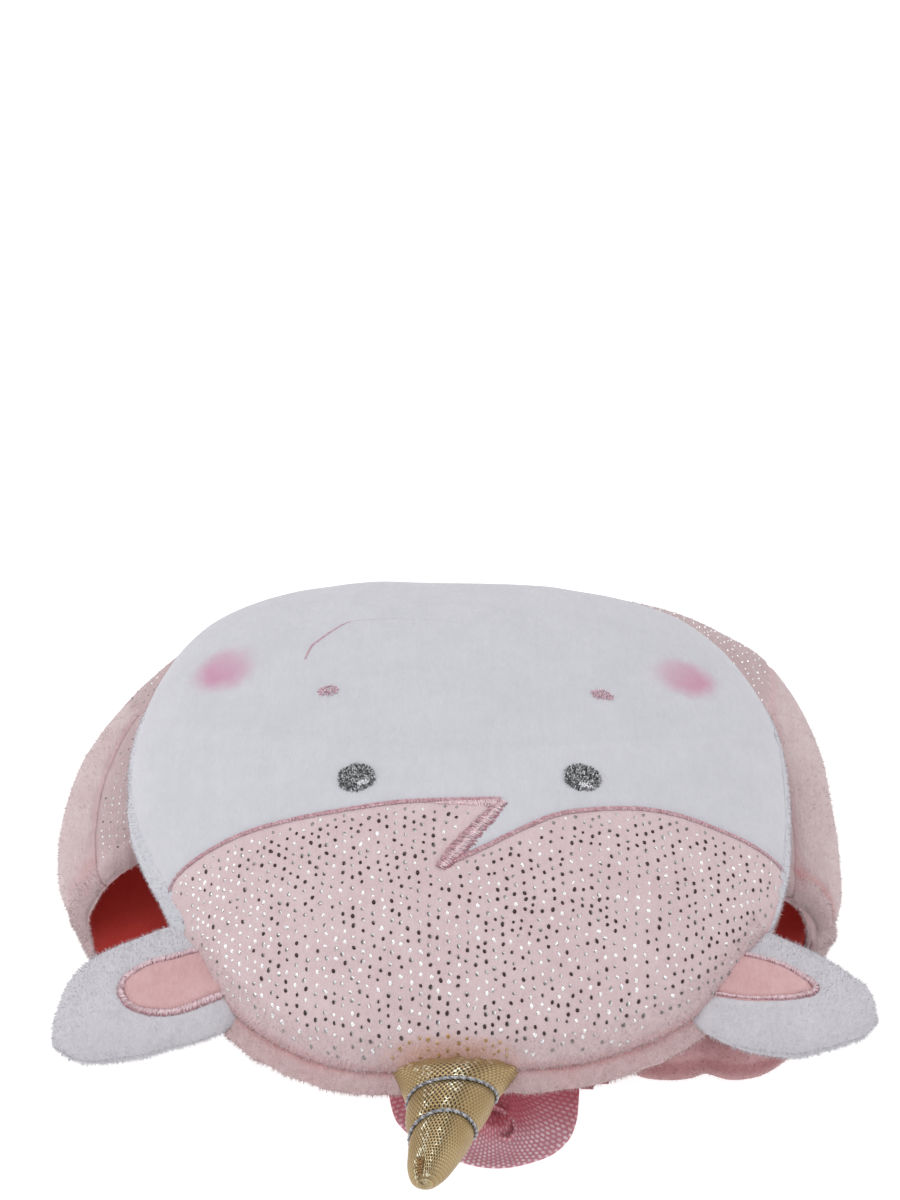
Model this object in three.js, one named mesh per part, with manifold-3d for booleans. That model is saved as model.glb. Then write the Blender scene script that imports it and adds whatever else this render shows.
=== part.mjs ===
// A child's plush backpack shaped as a unicorn head, lying on its back with the
// face up. Millimetres, +Z up. The head is a stuffed cushion and is the flap of a
// soft open-topped sack; its horn end points toward -Y.
import * as THREE from 'three';
import { mergeVertices } from 'three/addons/utils/BufferGeometryUtils.js';
import Module from 'manifold-3d';

const wasm = await Module();
wasm.setup();
const { Manifold, Mesh } = wasm;

// ---------------------------------------------------------------- dimensions
const ORIGIN = [1.55, -9.9, 0];      // plan point that becomes the part's origin
const GAP = 0.3;                    // clearance between touching pieces
const CLOTH = 3.0;                  // sack wall: plush with its backing
const LINING = 1.0;                 // lining cloth
const LINING_GAP = 1.4;             // loose lining, clear of the sack's flat facets

// head cushion
const HEAD_X = 4, HEAD_Y = 0;       // middle of the cushion
const SEAM_Z = 60;                  // height of the perimeter seam
const DOME_H = 38, DOME_P = 2.3, DOME_Q = 1.8;   // crown above the seam
const UNDER_Z = 42;                 // flat underside, on the sack
const UNDER_K = 0.78;               // flat part of the underside, of the outline
const WELT_SIDE = 0.6, WELT_NEAR = 6.6;          // how far the back panel rolls past the seam
// outline radius every 22.5 degrees, counterclockwise from +X
const HEAD_R = [119.8, 124.7, 126.0, 115.2, 110.2, 118.9, 130.6, 126.0,
                118.3, 110.3, 117.3, 119.9, 112.6, 118.6, 122.0, 120.9];
// panel seams across the head in plan: [x, y]
const MUZZLE_SEAM = [[-150, 62], [-113, 42], [-104, 33], [-89.5, 23.4], [-70.6, 12.4], [-45.1, 4.1],
  [-16.6, -0.5], [8.2, -1.9], [33.1, -0.2], [54.6, 3.2], [83.7, 10.8], [106.6, 20.7], [121, 32], [150, 48]];
const HAIRLINE = [[-150, -44], [-104, -39], [-96.2, -36.3], [-79.7, -32.6], [-65.5, -30.2], [-33.8, -27.5],
  [-16.3, -25.9], [21.4, -24.7], [-2.4, -52.5], [11.5, -45.8], [28.9, -35.6], [39.5, -30.3], [53.6, -26.8],
  [67.8, -24.7], [82, -24.8], [96.3, -26.9], [107.2, -28.4], [118, -30], [150, -33]];

// ears: s from the root, c sideways centre, b half width, t half thickness
const EAR_LEFT = { root: [-88, -73.5], angle: 207.5, z: 57, flip: -1, rows: [
  { s: -14, c: 0.0, b: 22.5, t: 5.5 }, { s: 0, c: 0.2, b: 24.8, t: 7.2 }, { s: 10, c: 0.3, b: 24.8, t: 8.2 },
  { s: 20, c: 1.3, b: 23.8, t: 8.6 }, { s: 28, c: 1.3, b: 22.8, t: 8.4 }, { s: 36, c: 0.8, b: 19.8, t: 7.6 },
  { s: 42, c: -0.4, b: 16.4, t: 6.6 }, { s: 47, c: -2.3, b: 12.3, t: 5.4 }, { s: 51, c: -2.7, b: 7.8, t: 3.8 },
  { s: 53.5, c: -3.0, b: 2.6, t: 1.6 }],
  inner: [{ s: -6, c: -4.0, b: 11.0 }, { s: 4, c: -4.0, b: 11.6 }, { s: 12, c: -3.2, b: 12.0 },
    { s: 20, c: -2.4, b: 10.2 }, { s: 25, c: -1.8, b: 6.6 }, { s: 28, c: -1.5, b: 1.6 }] };
const EAR_RIGHT = { root: [102.6, -74.3], angle: -19.3, z: 57, flip: 1, rows: [
  { s: -14, c: -1.0, b: 22.5, t: 5.5 }, { s: 0, c: -2.0, b: 24.5, t: 7.2 }, { s: 10, c: -2.8, b: 24.3, t: 8.2 },
  { s: 20, c: -3.2, b: 22.7, t: 8.6 }, { s: 28, c: -2.9, b: 20.2, t: 8.2 }, { s: 36, c: -1.8, b: 15.8, t: 7.2 },
  { s: 42, c: -0.8, b: 11.8, t: 5.8 }, { s: 46, c: -1.8, b: 7.2, t: 4.0 }, { s: 48, c: -1.5, b: 2.6, t: 1.6 }],
  inner: [{ s: -6, c: -3.2, b: 10.4 }, { s: 4, c: -3.0, b: 10.0 }, { s: 12, c: -2.6, b: 8.6 },
    { s: 20, c: -2.0, b: 5.8 }, { s: 25, c: -1.3, b: 3.0 }, { s: 27, c: -1.0, b: 1.0 }] };
const EAR_PANEL = 1.3;              // thickness of the pink ear panel

// horn: y along its length, x centre, rx and rz half widths, z centre
const HORN = [
  { y: -104, x: 3.2, rx: 21.0, rz: 7.0, z: 57.5 }, { y: -113, x: 2.9, rx: 21.8, rz: 9.0, z: 57.5 },
  { y: -118, x: 2.2, rx: 18.6, rz: 11.6, z: 57.2 }, { y: -122.2, x: 1.3, rx: 16.2, rz: 12.6, z: 57.0 },
  { y: -126, x: 0.8, rx: 14.8, rz: 12.8, z: 56.8 }, { y: -132, x: -0.8, rx: 13.2, rz: 12.4, z: 56.4 },
  { y: -138, x: -2.1, rx: 11.2, rz: 11.0, z: 56.0 }, { y: -145.5, x: -4.2, rx: 8.9, rz: 9.0, z: 55.4 },
  { y: -151, x: -5.9, rx: 7.0, rz: 7.2, z: 55.0 }, { y: -155, x: -7.2, rx: 4.6, rz: 4.8, z: 54.8 },
  { y: -156.8, x: -7.8, rx: 1.7, rz: 1.8, z: 54.7 }];
const CORD_R = 1.1;
// cord route round the horn: angle from +X over the top, y along the horn
const CORD = [{ a: -70, y: -119.6 }, { a: 0, y: -122.5 }, { a: 90, y: -123.6 }, { a: 180, y: -126 },
  { a: 270, y: -132 }, { a: 360, y: -138.2 }, { a: 450, y: -139 }, { a: 540, y: -140.6 }, { a: 610, y: -144 }];

// sack: y along it, x centre, w half width, zb and zt bottom and top
const SACK = [
  { y: 137, x: 6.0, w: 40, zb: 16, zt: 27 }, { y: 134, x: 7.0, w: 70, zb: 9.5, zt: 33 },
  { y: 127, x: 7.2, w: 92, zb: 4.5, zt: 38 }, { y: 115, x: 7.4, w: 108, zb: 1.8, zt: 40.5 },
  { y: 104, x: 7.5, w: 119, zb: 1.0, zt: 41 }, { y: 85, x: 6.0, w: 130, zb: 0.8, zt: 41.4 },
  { y: 60, x: 3.0, w: 140, zb: 0.8, zt: 41.4 }, { y: 30, x: 0.5, w: 145, zb: 0.8, zt: 41.4 },
  { y: 0, x: 1.0, w: 145, zb: 0.8, zt: 41.4 }, { y: -20, x: 3.0, w: 141, zb: 0.8, zt: 41.4 },
  { y: -42, x: 5.5, w: 134, zb: 0.8, zt: 41 }, { y: -60, x: 6.0, w: 124, zb: 0.8, zt: 40 }];
const SACK_M = 2.8;                 // squareness of the sack's cross-section
const LIFT_PAST = 3, LIFT_FADE = 20; // how the back panel rides up over the straps
const SACK_JOIN_Y = 72;             // where the bottom piece meets the four long panels
const SEAM_DEG = 30;                // side panels reach this far above and below the middle
// mouth edge of the sack: degrees round the section, y of the edge
const MOUTH = [{ a: 0, y: -30 }, { a: 30, y: -18 }, { a: 45, y: -9 }, { a: 60, y: -3 }, { a: 90, y: 0 },
  { a: 118, y: 2 }, { a: 132, y: 1 }, { a: 140, y: -4 }, { a: 150, y: -12 }, { a: 165, y: -22 },
  { a: 180, y: -30 }, { a: 200, y: -40 }, { a: 220, y: -50 }, { a: 240, y: -56 }, { a: 270, y: -58 },
  { a: 296, y: -52 }, { a: 310, y: -42 }, { a: 325, y: -37 }, { a: 340, y: -34 }, { a: 360, y: -30 }];

// neck strip between the back panel's edge and the head: y, z of its middle
const NECK_X = [-58, 62], NECK_T = 2.5;
const NECK = [{ y: -59.0, z: 8.9 }, { y: -66, z: 8.8 }, { y: -74, z: 10.6 }, { y: -81, z: 16 },
  { y: -85, z: 24 }, { y: -86.5, z: 33 }, { y: -86, z: 41.6 }];

// grab handle: flat loop of 25 mm webbing, outer then inner edge in plan
const WEB_T = 1.6;
const HANDLE_Z = 11.6, HANDLE_DROOP = 10;   // root height, degrees down toward -Y
const HANDLE_OUTER = [[47.5, -79.6], [46.6, -92], [45.6, -99], [42.5, -106], [35, -112], [20.5, -116],
  [6.3, -114.3], [-7, -108.5], [-15.5, -101.5], [-19.3, -95], [-22.2, -79.6]];
const HANDLE_INNER = [[2.6, -79.6], [4.2, -90], [8.5, -97.5], [15, -101.8], [19.2, -102.4], [21.2, -100], [21.8, -90], [22.3, -79.6]];
const TAB = [[47.6, -83.8], [47.3, -89.6], [51.8, -89.8], [51.9, -87.6], [57.4, -87.3], [57.9, -83.8]];
const TAB_Z = 14.2, TAB_T = 2.2;

// straps: x, y of the middle, d heading in degrees, hw half width, zb and zt bottom and top
const STRAP_RIGHT = [
  { x: 64.5, y: -65, d: 0, hw: 8.5, zb: 1.5, zt: 19 }, { x: 69, y: -66, d: 0, hw: 11.5, zb: 0, zt: 23 },
  { x: 79, y: -67, d: 0, hw: 12.5, zb: 0, zt: 25.5 }, { x: 88, y: -66.5, d: 0, hw: 12, zb: 0, zt: 25 },
  { x: 93, y: -65.5, d: 0, hw: 10.5, zb: 0, zt: 22 }, { x: 101, y: -67, d: 6, hw: 12.5, zb: 0, zt: 24.5 },
  { x: 109, y: -65.5, d: 28, hw: 12.5, zb: 0, zt: 22 }, { x: 115, y: -59, d: 62, hw: 12.5, zb: 0, zt: 14 },
  { x: 115, y: -50, d: 92, hw: 14, zb: 0, zt: 7.2 }, { x: 110.5, y: -33, d: 104, hw: 17, zb: 0, zt: 6.9 },
  { x: 101, y: -12, d: 104, hw: 19.5, zb: 0, zt: 6.9 }, { x: 96, y: 8, d: 98, hw: 20, zb: 0, zt: 6.9 },
  { x: 94, y: 24, d: 88, hw: 18.5, zb: 0, zt: 6.9 }, { x: 94.5, y: 32, d: 82, hw: 14, zb: 0.6, zt: 6.4 }];
const STRAP_LEFT = [
  { x: -47, y: -64, d: 96, hw: 13, zb: 0.6, zt: 6.2 }, { x: -48, y: -56, d: 96, hw: 18, zb: 0, zt: 6.9 },
  { x: -52, y: -28, d: 98, hw: 20, zb: 0, zt: 6.9 }, { x: -57, y: 2, d: 99, hw: 20, zb: 0, zt: 6.9 },
  { x: -61, y: 24, d: 104, hw: 18.5, zb: 0, zt: 6.9 }, { x: -63.5, y: 32, d: 108, hw: 14, zb: 0.6, zt: 6.4 }];
const WEB_W = 25;
const TAIL_RIGHT = { from: [94.8, 33.2], to: [98, 71.2] };
const TAIL_LEFT = { from: [-64.1, 33.4], to: [-75, 71.2] };
const TAIL_Z = [{ k: 0, z: 4.4 }, { k: 0.6, z: 4.4 }, { k: 0.8, z: 4.2 }, { k: 1, z: 3.2 }];
const LOCK = { along: 11, w: 33, l: 23, t: 3.2, z: 0.2, slotW: 26.5, slotL: 3.6 };

// ---------------------------------------------------------------- helpers
const rad = (d) => d * Math.PI / 180;
const pw = (v, e) => Math.sign(v) * Math.pow(Math.abs(v), e);

function lookup(table, key, at, field) {
  const up = table[table.length - 1][key] > table[0][key];
  const t = up ? table : [...table].reverse();
  if (at <= t[0][key]) return t[0][field];
  for (let i = 1; i < t.length; i++) {
    if (at <= t[i][key]) {
      const h = t[i][key] - t[i - 1][key], u = (at - t[i - 1][key]) / h;
      const slope = (k) => (k <= 0 || k >= t.length - 1) ? (t[Math.min(k + 1, t.length - 1)][field] - t[Math.max(k - 1, 0)][field]) / (t[Math.min(k + 1, t.length - 1)][key] - t[Math.max(k - 1, 0)][key])
        : (t[k + 1][field] - t[k - 1][field]) / (t[k + 1][key] - t[k - 1][key]);
      const m0 = slope(i - 1) * h, m1 = slope(i) * h;
      const u2 = u * u, u3 = u2 * u;
      return (2 * u3 - 3 * u2 + 1) * t[i - 1][field] + (u3 - 2 * u2 + u) * m0 + (-2 * u3 + 3 * u2) * t[i][field] + (u3 - u2) * m1;
    }
  }
  return t[t.length - 1][field];
}

function headRadius(th) {                       // periodic Catmull-Rom through HEAD_R
  const n = HEAD_R.length;
  const f = ((th / (2 * Math.PI)) % 1 + 1) % 1 * n, i = Math.floor(f), u = f - i;
  const p = (k) => HEAD_R[(i + k + n) % n];
  return 0.5 * (2 * p(0) + (p(1) - p(-1)) * u + (2 * p(-1) - 5 * p(0) + 4 * p(1) - p(2)) * u * u
    + (3 * p(0) - p(-1) - 3 * p(1) + p(2)) * u * u * u);
}

function toGeometry(positions, index) {
  let vol = 0;
  for (let i = 0; i < index.length; i += 3) {
    const [a, b, c] = [index[i] * 3, index[i + 1] * 3, index[i + 2] * 3];
    vol += positions[a] * (positions[b + 1] * positions[c + 2] - positions[b + 2] * positions[c + 1])
      - positions[a + 1] * (positions[b] * positions[c + 2] - positions[b + 2] * positions[c])
      + positions[a + 2] * (positions[b] * positions[c + 1] - positions[b + 1] * positions[c]);
  }
  if (vol < 0) for (let i = 0; i < index.length; i += 3) [index[i + 1], index[i + 2]] = [index[i + 2], index[i + 1]];
  const g = new THREE.BufferGeometry();
  g.setAttribute('position', new THREE.Float32BufferAttribute(positions, 3));
  g.setIndex(index);
  return g;
}

// closed rings joined one to the next, each end closed by a fan
function loft(rings) {
  const n = rings[0].length, pos = [], idx = [];
  rings.forEach((r) => r.forEach((p) => pos.push(...p)));
  for (let j = 0; j + 1 < rings.length; j++) {
    for (let i = 0; i < n; i++) {
      const a = j * n + i, b = j * n + (i + 1) % n, c = a + n, d = b + n;
      idx.push(a, b, d, a, d, c);
    }
  }
  for (const [j, turn] of [[0, true], [rings.length - 1, false]]) {
    const m = [0, 0, 0];
    rings[j].forEach((p) => p.forEach((v, k) => { m[k] += v / n; }));
    const k = pos.length / 3;
    pos.push(...m);
    for (let i = 0; i < n; i++) {
      const a = j * n + i, b = j * n + (i + 1) % n;
      idx.push(...(turn ? [k, b, a] : [k, a, b]));
    }
  }
  return toGeometry(pos, idx);
}

// two matching grids of points, closed along their four edges
function slab(outer, inner) {
  const nv = outer.length, nu = outer[0].length, pos = [], idx = [];
  for (const grid of [outer, inner]) grid.forEach((row) => row.forEach((p) => pos.push(...p)));
  const at = (side, j, i) => side * nv * nu + j * nu + i;
  const quad = (a, b, c, d) => idx.push(a, b, c, a, c, d);
  for (let j = 0; j + 1 < nv; j++) {
    for (let i = 0; i + 1 < nu; i++) {
      quad(at(0, j, i), at(0, j, i + 1), at(0, j + 1, i + 1), at(0, j + 1, i));
      quad(at(1, j, i), at(1, j + 1, i), at(1, j + 1, i + 1), at(1, j, i + 1));
    }
    quad(at(0, j, 0), at(0, j + 1, 0), at(1, j + 1, 0), at(1, j, 0));
    quad(at(0, j + 1, nu - 1), at(0, j, nu - 1), at(1, j, nu - 1), at(1, j + 1, nu - 1));
  }
  for (let i = 0; i + 1 < nu; i++) {
    quad(at(0, 0, i + 1), at(0, 0, i), at(1, 0, i), at(1, 0, i + 1));
    quad(at(0, nv - 1, i), at(0, nv - 1, i + 1), at(1, nv - 1, i + 1), at(1, nv - 1, i));
  }
  return toGeometry(pos, idx);
}

// cup of closed rings: the first ring is the open edge, the last closes on a point
function cup(outer, inner) {
  const n = outer[0].length, pos = [], idx = [];
  for (const set of [outer, inner]) set.forEach((r) => r.forEach((p) => pos.push(...p)));
  const at = (side, j, i) => side * outer.length * n + j * n + (i % n);
  for (let j = 0; j + 1 < outer.length; j++) {
    for (let i = 0; i < n; i++) {
      idx.push(at(0, j, i), at(0, j, i + 1), at(0, j + 1, i + 1), at(0, j, i), at(0, j + 1, i + 1), at(0, j + 1, i));
      idx.push(at(1, j, i), at(1, j + 1, i + 1), at(1, j, i + 1), at(1, j, i), at(1, j + 1, i), at(1, j + 1, i + 1));
    }
  }
  for (let i = 0; i < n; i++) idx.push(at(0, 0, i), at(1, 0, i + 1), at(0, 0, i + 1), at(0, 0, i), at(1, 0, i), at(1, 0, i + 1));
  [outer, inner].forEach((set, side) => {
    const last = set[set.length - 1], m = [0, 0, 0], k = pos.length / 3;
    last.forEach((p) => p.forEach((v, q) => { m[q] += v / n; }));
    pos.push(...m);
    for (let i = 0; i < n; i++) {
      const a = at(side, set.length - 1, i), b = at(side, set.length - 1, i + 1);
      idx.push(...(side === 0 ? [k, a, b] : [k, b, a]));
    }
  });
  return toGeometry(pos, idx);
}

function solidOf(geometry) {
  const g = geometry.clone();
  g.deleteAttribute('normal');
  g.deleteAttribute('uv');
  const m = mergeVertices(g, 1e-4);
  return new Manifold(new Mesh({ numProp: 3, vertProperties: m.attributes.position.array, triVerts: Uint32Array.from(m.index.array) }));
}

function geometryOf(solid) {
  const mesh = solid.simplify(0.02).getMesh();
  const g = new THREE.BufferGeometry();
  g.setAttribute('position', new THREE.BufferAttribute(new Float32Array(mesh.vertProperties), 3));
  g.setIndex([...mesh.triVerts]);
  return g;
}

function prism(points, z0, z1) {                // plan polygon raised from z0 to z1
  const g = new THREE.ExtrudeGeometry(new THREE.Shape(points.map(([x, y]) => new THREE.Vector2(x, y))),
    { depth: z1 - z0, bevelEnabled: false });
  g.translate(0, 0, z0);
  return g;
}

const group = new THREE.Group();
function add(name, geometry, color, roughness = 0.95, metalness = 0) {
  geometry.computeVertexNormals();
  const mesh = new THREE.Mesh(geometry, new THREE.MeshStandardMaterial({ color, roughness, metalness }));
  mesh.name = name;
  group.add(mesh);
}

// ---------------------------------------------------------------- head
const NT = 52;
const headRing = (z, k, grow = 0) => Array.from({ length: NT }, (_, i) => {
  const th = 2 * Math.PI * i / NT, r = headRadius(th) * k + (typeof grow === 'function' ? grow(th) : grow);
  return [HEAD_X + r * Math.cos(th), HEAD_Y + r * Math.sin(th), z];
});
const domeZ = (k) => SEAM_Z + DOME_H * Math.pow(1 - Math.pow(k, DOME_P), 1 / DOME_Q);
const weltOut = (th) => {                        // full at the horn end, nearly none at the sides
  const u = Math.max(0, Math.min(1, (-Math.sin(th) - 0.35) / 0.5));
  return WELT_SIDE + (WELT_NEAR - WELT_SIDE) * u * u * (3 - 2 * u);
};
const UNDER_T = [0, 0.12, 0.26, 0.42, 0.6, 0.8, 1];
function underRing(t, extra = 0) {
  const bulge = Math.sin(Math.PI * Math.min(1, t / 0.5));
  const k = 1 - (1 - UNDER_K) * Math.pow(Math.max(0, (t - 0.3) / 0.7), 1.5);
  return headRing(SEAM_Z - GAP - (SEAM_Z - GAP - UNDER_Z) * Math.pow(t, 0.9), k, (th) => weltOut(th) * bulge + extra);
}
const domeK = [1, 0.985, 0.955, 0.905, 0.83, 0.72, 0.57, 0.38, 0.17];
const headTop = solidOf(loft(domeK.map((k) => headRing(domeZ(k), k))));
const shifted = (curve, d) => curve.map((p, i) => {        // the curve moved d to its left
  const normal = (a, b) => { const l = Math.hypot(b[0] - a[0], b[1] - a[1]); return [-(b[1] - a[1]) / l, (b[0] - a[0]) / l]; };
  const n0 = normal(curve[Math.max(0, i - 1)], curve[Math.max(1, i)]), n1 = normal(curve[Math.min(i, curve.length - 2)], curve[Math.min(i + 1, curve.length - 1)]);
  const m = [n0[0] + n1[0], n0[1] + n1[1]], k = 2 * d / (m[0] * m[0] + m[1] * m[1]);
  return [p[0] + m[0] * k, p[1] + m[1] * k];
});
const above = (curve) => prism([...shifted(curve, GAP / 2), [150, 220], [-150, 220]], SEAM_Z - 5, SEAM_Z + DOME_H + 5);
const below = (curve) => prism([...shifted(curve, -GAP / 2), [150, -220], [-150, -220]], SEAM_Z - 5, SEAM_Z + DOME_H + 5);
add('muzzle', geometryOf(headTop.intersect(solidOf(above(MUZZLE_SEAM)))), 0xf2f0f3);
add('forehead', geometryOf(headTop.intersect(solidOf(below(MUZZLE_SEAM))).intersect(solidOf(above(HAIRLINE)))), 0xf2f0f3);
add('forelock', geometryOf(headTop.intersect(solidOf(below(HAIRLINE)))), 0xe9c9cd);
add('head_back', loft(UNDER_T.map((t) => underRing(t))), 0xeec3c8);

// space the head needs, with the clearance round it
const keepOut = solidOf(loft([...[...domeK].reverse().map((k) => headRing(domeZ(k) + GAP, k, GAP)),
  ...UNDER_T.slice(1).map((t) => underRing(t, GAP).map(([x, y, z]) => [x, y, z - GAP * t]))]));

// ---------------------------------------------------------------- ears
function earPoint(ear, s, y, z) {
  const a = rad(ear.angle), f = ear.flip;
  return [ear.root[0] + s * Math.cos(a) - f * y * Math.sin(a), ear.root[1] + s * Math.sin(a) + f * y * Math.cos(a), z];
}
const earField = (ear, s, field) => lookup(ear.rows, 's', s, field);
function earTopZ(ear, s, y) {
  const q = Math.min(1, Math.abs((y - earField(ear, s, 'c')) / earField(ear, s, 'b')));
  return ear.z + earField(ear, s, 't') * Math.pow(1 - Math.pow(q, 2.3), 1 / 2);
}
function earGeometry(ear) {
  const rings = ear.rows.map((r) => Array.from({ length: 18 }, (_, i) => {
    const a = 2 * Math.PI * i / 18;
    const y = r.c + r.b * pw(Math.cos(a), 2 / 2.3), q = Math.min(1, Math.abs((y - r.c) / r.b));
    const z = ear.z + Math.sign(Math.round(Math.sin(a) * 1e6)) * r.t * Math.pow(1 - Math.pow(q, 2.3), 1 / 2);
    return earPoint(ear, r.s, y, z);
  }));
  return geometryOf(solidOf(loft(rings)).subtract(keepOut));
}
function earPanel(ear) {
  const grid = (lift) => ear.inner.flatMap((r, k) => (k === 0 ? [r] : [{ ...r, s: (r.s + ear.inner[k - 1].s) / 2, c: (r.c + ear.inner[k - 1].c) / 2, b: (r.b + ear.inner[k - 1].b) / 2 }, r]))
    .map((r) => [-1, -0.6, -0.2, 0.2, 0.6, 1].map((v) => {
      const y = r.c + v * r.b;
      return earPoint(ear, r.s, y, earTopZ(ear, r.s, y) + lift);
    }));
  return geometryOf(solidOf(slab(grid(GAP + 0.2 + EAR_PANEL), grid(GAP + 0.2))).subtract(keepOut));
}
for (const [side, ear] of [['left', EAR_LEFT], ['right', EAR_RIGHT]]) {
  add(`ear_${side}`, earGeometry(ear), 0xeeecf0);
  add(`ear_inner_${side}`, earPanel(ear), 0xf0bfc2);
}

// ---------------------------------------------------------------- horn
const hornAt = (y, f) => lookup(HORN, 'y', y, f);
const hornPoint = (y, a, out = 0) => [hornAt(y, 'x') + (hornAt(y, 'rx') + out) * Math.cos(a), y, hornAt(y, 'z') + (hornAt(y, 'rz') + out) * Math.sin(a)];
add('horn', geometryOf(solidOf(loft(HORN.map((r) => Array.from({ length: 20 }, (_, i) => hornPoint(r.y, 2 * Math.PI * i / 20))))).subtract(keepOut)), 0xc9a961, 0.4, 0.6);
const cordPath = new THREE.CatmullRomCurve3(Array.from({ length: 35 }, (_, i) => {
  const a = CORD[0].a + (CORD[CORD.length - 1].a - CORD[0].a) * i / 34;
  return new THREE.Vector3(...hornPoint(lookup(CORD, 'a', a, 'y'), rad(a), CORD_R + GAP + 0.1));
}));
const cordShape = new THREE.Shape(Array.from({ length: 6 }, (_, i) => new THREE.Vector2(CORD_R * Math.cos(Math.PI * i / 3), CORD_R * Math.sin(Math.PI * i / 3))));
add('horn_cord', new THREE.ExtrudeGeometry(cordShape, { steps: 40, bevelEnabled: false, extrudePath: cordPath }), 0xb9bcc2, 0.4, 0.6);

// ---------------------------------------------------------------- sack
// height of the straps under a plan point, fading out beside them
function strapLift(x, y) {
  let lift = 0;
  const near = (ax, ay, bx, by, hw, top) => {
    const l2 = (bx - ax) ** 2 + (by - ay) ** 2, t = Math.max(0, Math.min(1, ((x - ax) * (bx - ax) + (y - ay) * (by - ay)) / l2));
    const d = Math.hypot(x - ax - t * (bx - ax), y - ay - t * (by - ay)) - hw - LIFT_PAST;
    const u = Math.max(0, Math.min(1, 1 - d / LIFT_FADE));
    lift = Math.max(lift, (top + GAP + 0.2) * (d <= 0 ? 1 : u * u * (3 - 2 * u)));
  };
  for (const rows of [STRAP_LEFT, STRAP_RIGHT]) {
    const flat = rows.filter((r) => r.zt < 8);
    for (let i = 0; i + 1 < flat.length; i++) near(flat[i].x, flat[i].y, flat[i + 1].x, flat[i + 1].y, Math.max(flat[i].hw, flat[i + 1].hw), 6.9);
  }
  for (const t of [TAIL_LEFT, TAIL_RIGHT]) near(...t.from, ...t.to, WEB_W / 2, 5.2);
  return lift;
}
function sackPoint(y, deg, inset, lift = strapLift) {
  const yy = y > 100 ? y - inset * (y - 100) / 37 : y;
  const w = lookup(SACK, 'y', y, 'w') - inset, x0 = lookup(SACK, 'y', y, 'x');
  const zb = lookup(SACK, 'y', y, 'zb') + inset, zt = lookup(SACK, 'y', y, 'zt') - inset;
  const h = Math.max(1.2, (zt - zb) / 2), c = Math.cos(rad(deg)), s = Math.sin(rad(deg));
  const x = x0 + w * pw(c, 2 / SACK_M), z = (zt + zb) / 2 + h * pw(s, 2 / SACK_M);
  return [x, yy, s < 0 ? Math.max(z, lift(x, yy) + inset) : z];
}
const mouthY = (deg) => lookup(MOUTH, 'a', ((deg % 360) + 360) % 360, 'y');
function sackPanel(a0, a1, nu, nv) {
  const grid = (inset) => Array.from({ length: nv + 1 }, (_, j) => Array.from({ length: nu + 1 }, (_, i) => {
    const deg = a0 + (a1 - a0) * i / nu, y0 = SACK_JOIN_Y - GAP, y1 = mouthY(deg);
    return sackPoint(y0 + (y1 - y0) * j / nv, deg, inset);
  }));
  return slab(grid(0), grid(CLOTH));
}
const eps = 0.16;                                // degrees that leave the seam clearance
add('sack_front', sackPanel(SEAM_DEG + eps, 180 - SEAM_DEG - eps, 10, 6), 0xe9c9cd);
add('sack_side_left', sackPanel(180 - SEAM_DEG + eps, 180 + SEAM_DEG - eps, 6, 8), 0xeec3c8);
add('sack_back', sackPanel(180 + SEAM_DEG + eps, 360 - SEAM_DEG - eps, 26, 8), 0xeec3c8);
add('sack_side_right', sackPanel(-SEAM_DEG + eps, SEAM_DEG - eps, 6, 8), 0xeec3c8);
const farRows = [SACK_JOIN_Y, 85, 98, 110, 119.5, 127, 132.5, 137];
const ringAt = (y, inset, n) => Array.from({ length: n }, (_, i) => sackPoint(y, 360 * (i + 0.5) / n, inset));
add('sack_bottom', cup(farRows.map((y) => ringAt(y, 0, 44)), farRows.map((y) => ringAt(y, CLOTH, 44))), 0xe9c9cd);
const liningRow = (k, inset) => Array.from({ length: 30 }, (_, i) => {
  const deg = 12 * i + 6, y0 = mouthY(deg) + 3;
  return sackPoint(y0 + (126 - y0) * k, deg, inset, () => 7.8);
});
const liningK = [0, 0.2, 0.42, 0.64, 0.82, 0.93, 1];
add('lining', cup(liningK.map((k) => liningRow(k, CLOTH + LINING_GAP)), liningK.map((k) => liningRow(k, CLOTH + LINING_GAP + LINING))), 0xb0454c, 0.9);

// ---------------------------------------------------------------- neck, handle, tab
function neckGrid(side) {
  return NECK.map((p, i) => {
    const a = NECK[Math.max(0, i - 1)], b = NECK[Math.min(NECK.length - 1, i + 1)];
    const l = Math.hypot(b.y - a.y, b.z - a.z), ny = (b.z - a.z) / l, nz = -(b.y - a.y) / l;
    return Array.from({ length: 9 }, (_, k) => [NECK_X[0] + (NECK_X[1] - NECK_X[0]) * k / 8, p.y + side * ny * NECK_T / 2, p.z + side * nz * NECK_T / 2]);
  });
}
add('flap_neck', slab(neckGrid(1), neckGrid(-1)), 0xeec3c8);

const handle = prism([...HANDLE_OUTER, ...HANDLE_INNER], 0, WEB_T);
handle.translate(0, -HANDLE_OUTER[0][1], 0).rotateX(rad(HANDLE_DROOP)).translate(0, HANDLE_OUTER[0][1], HANDLE_Z - WEB_T);
add('handle_loop', handle, 0xd98f9b, 0.8);
add('rim_tab', prism(TAB, TAB_Z, TAB_Z + TAB_T), 0xdf9aa2, 0.9);

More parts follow.
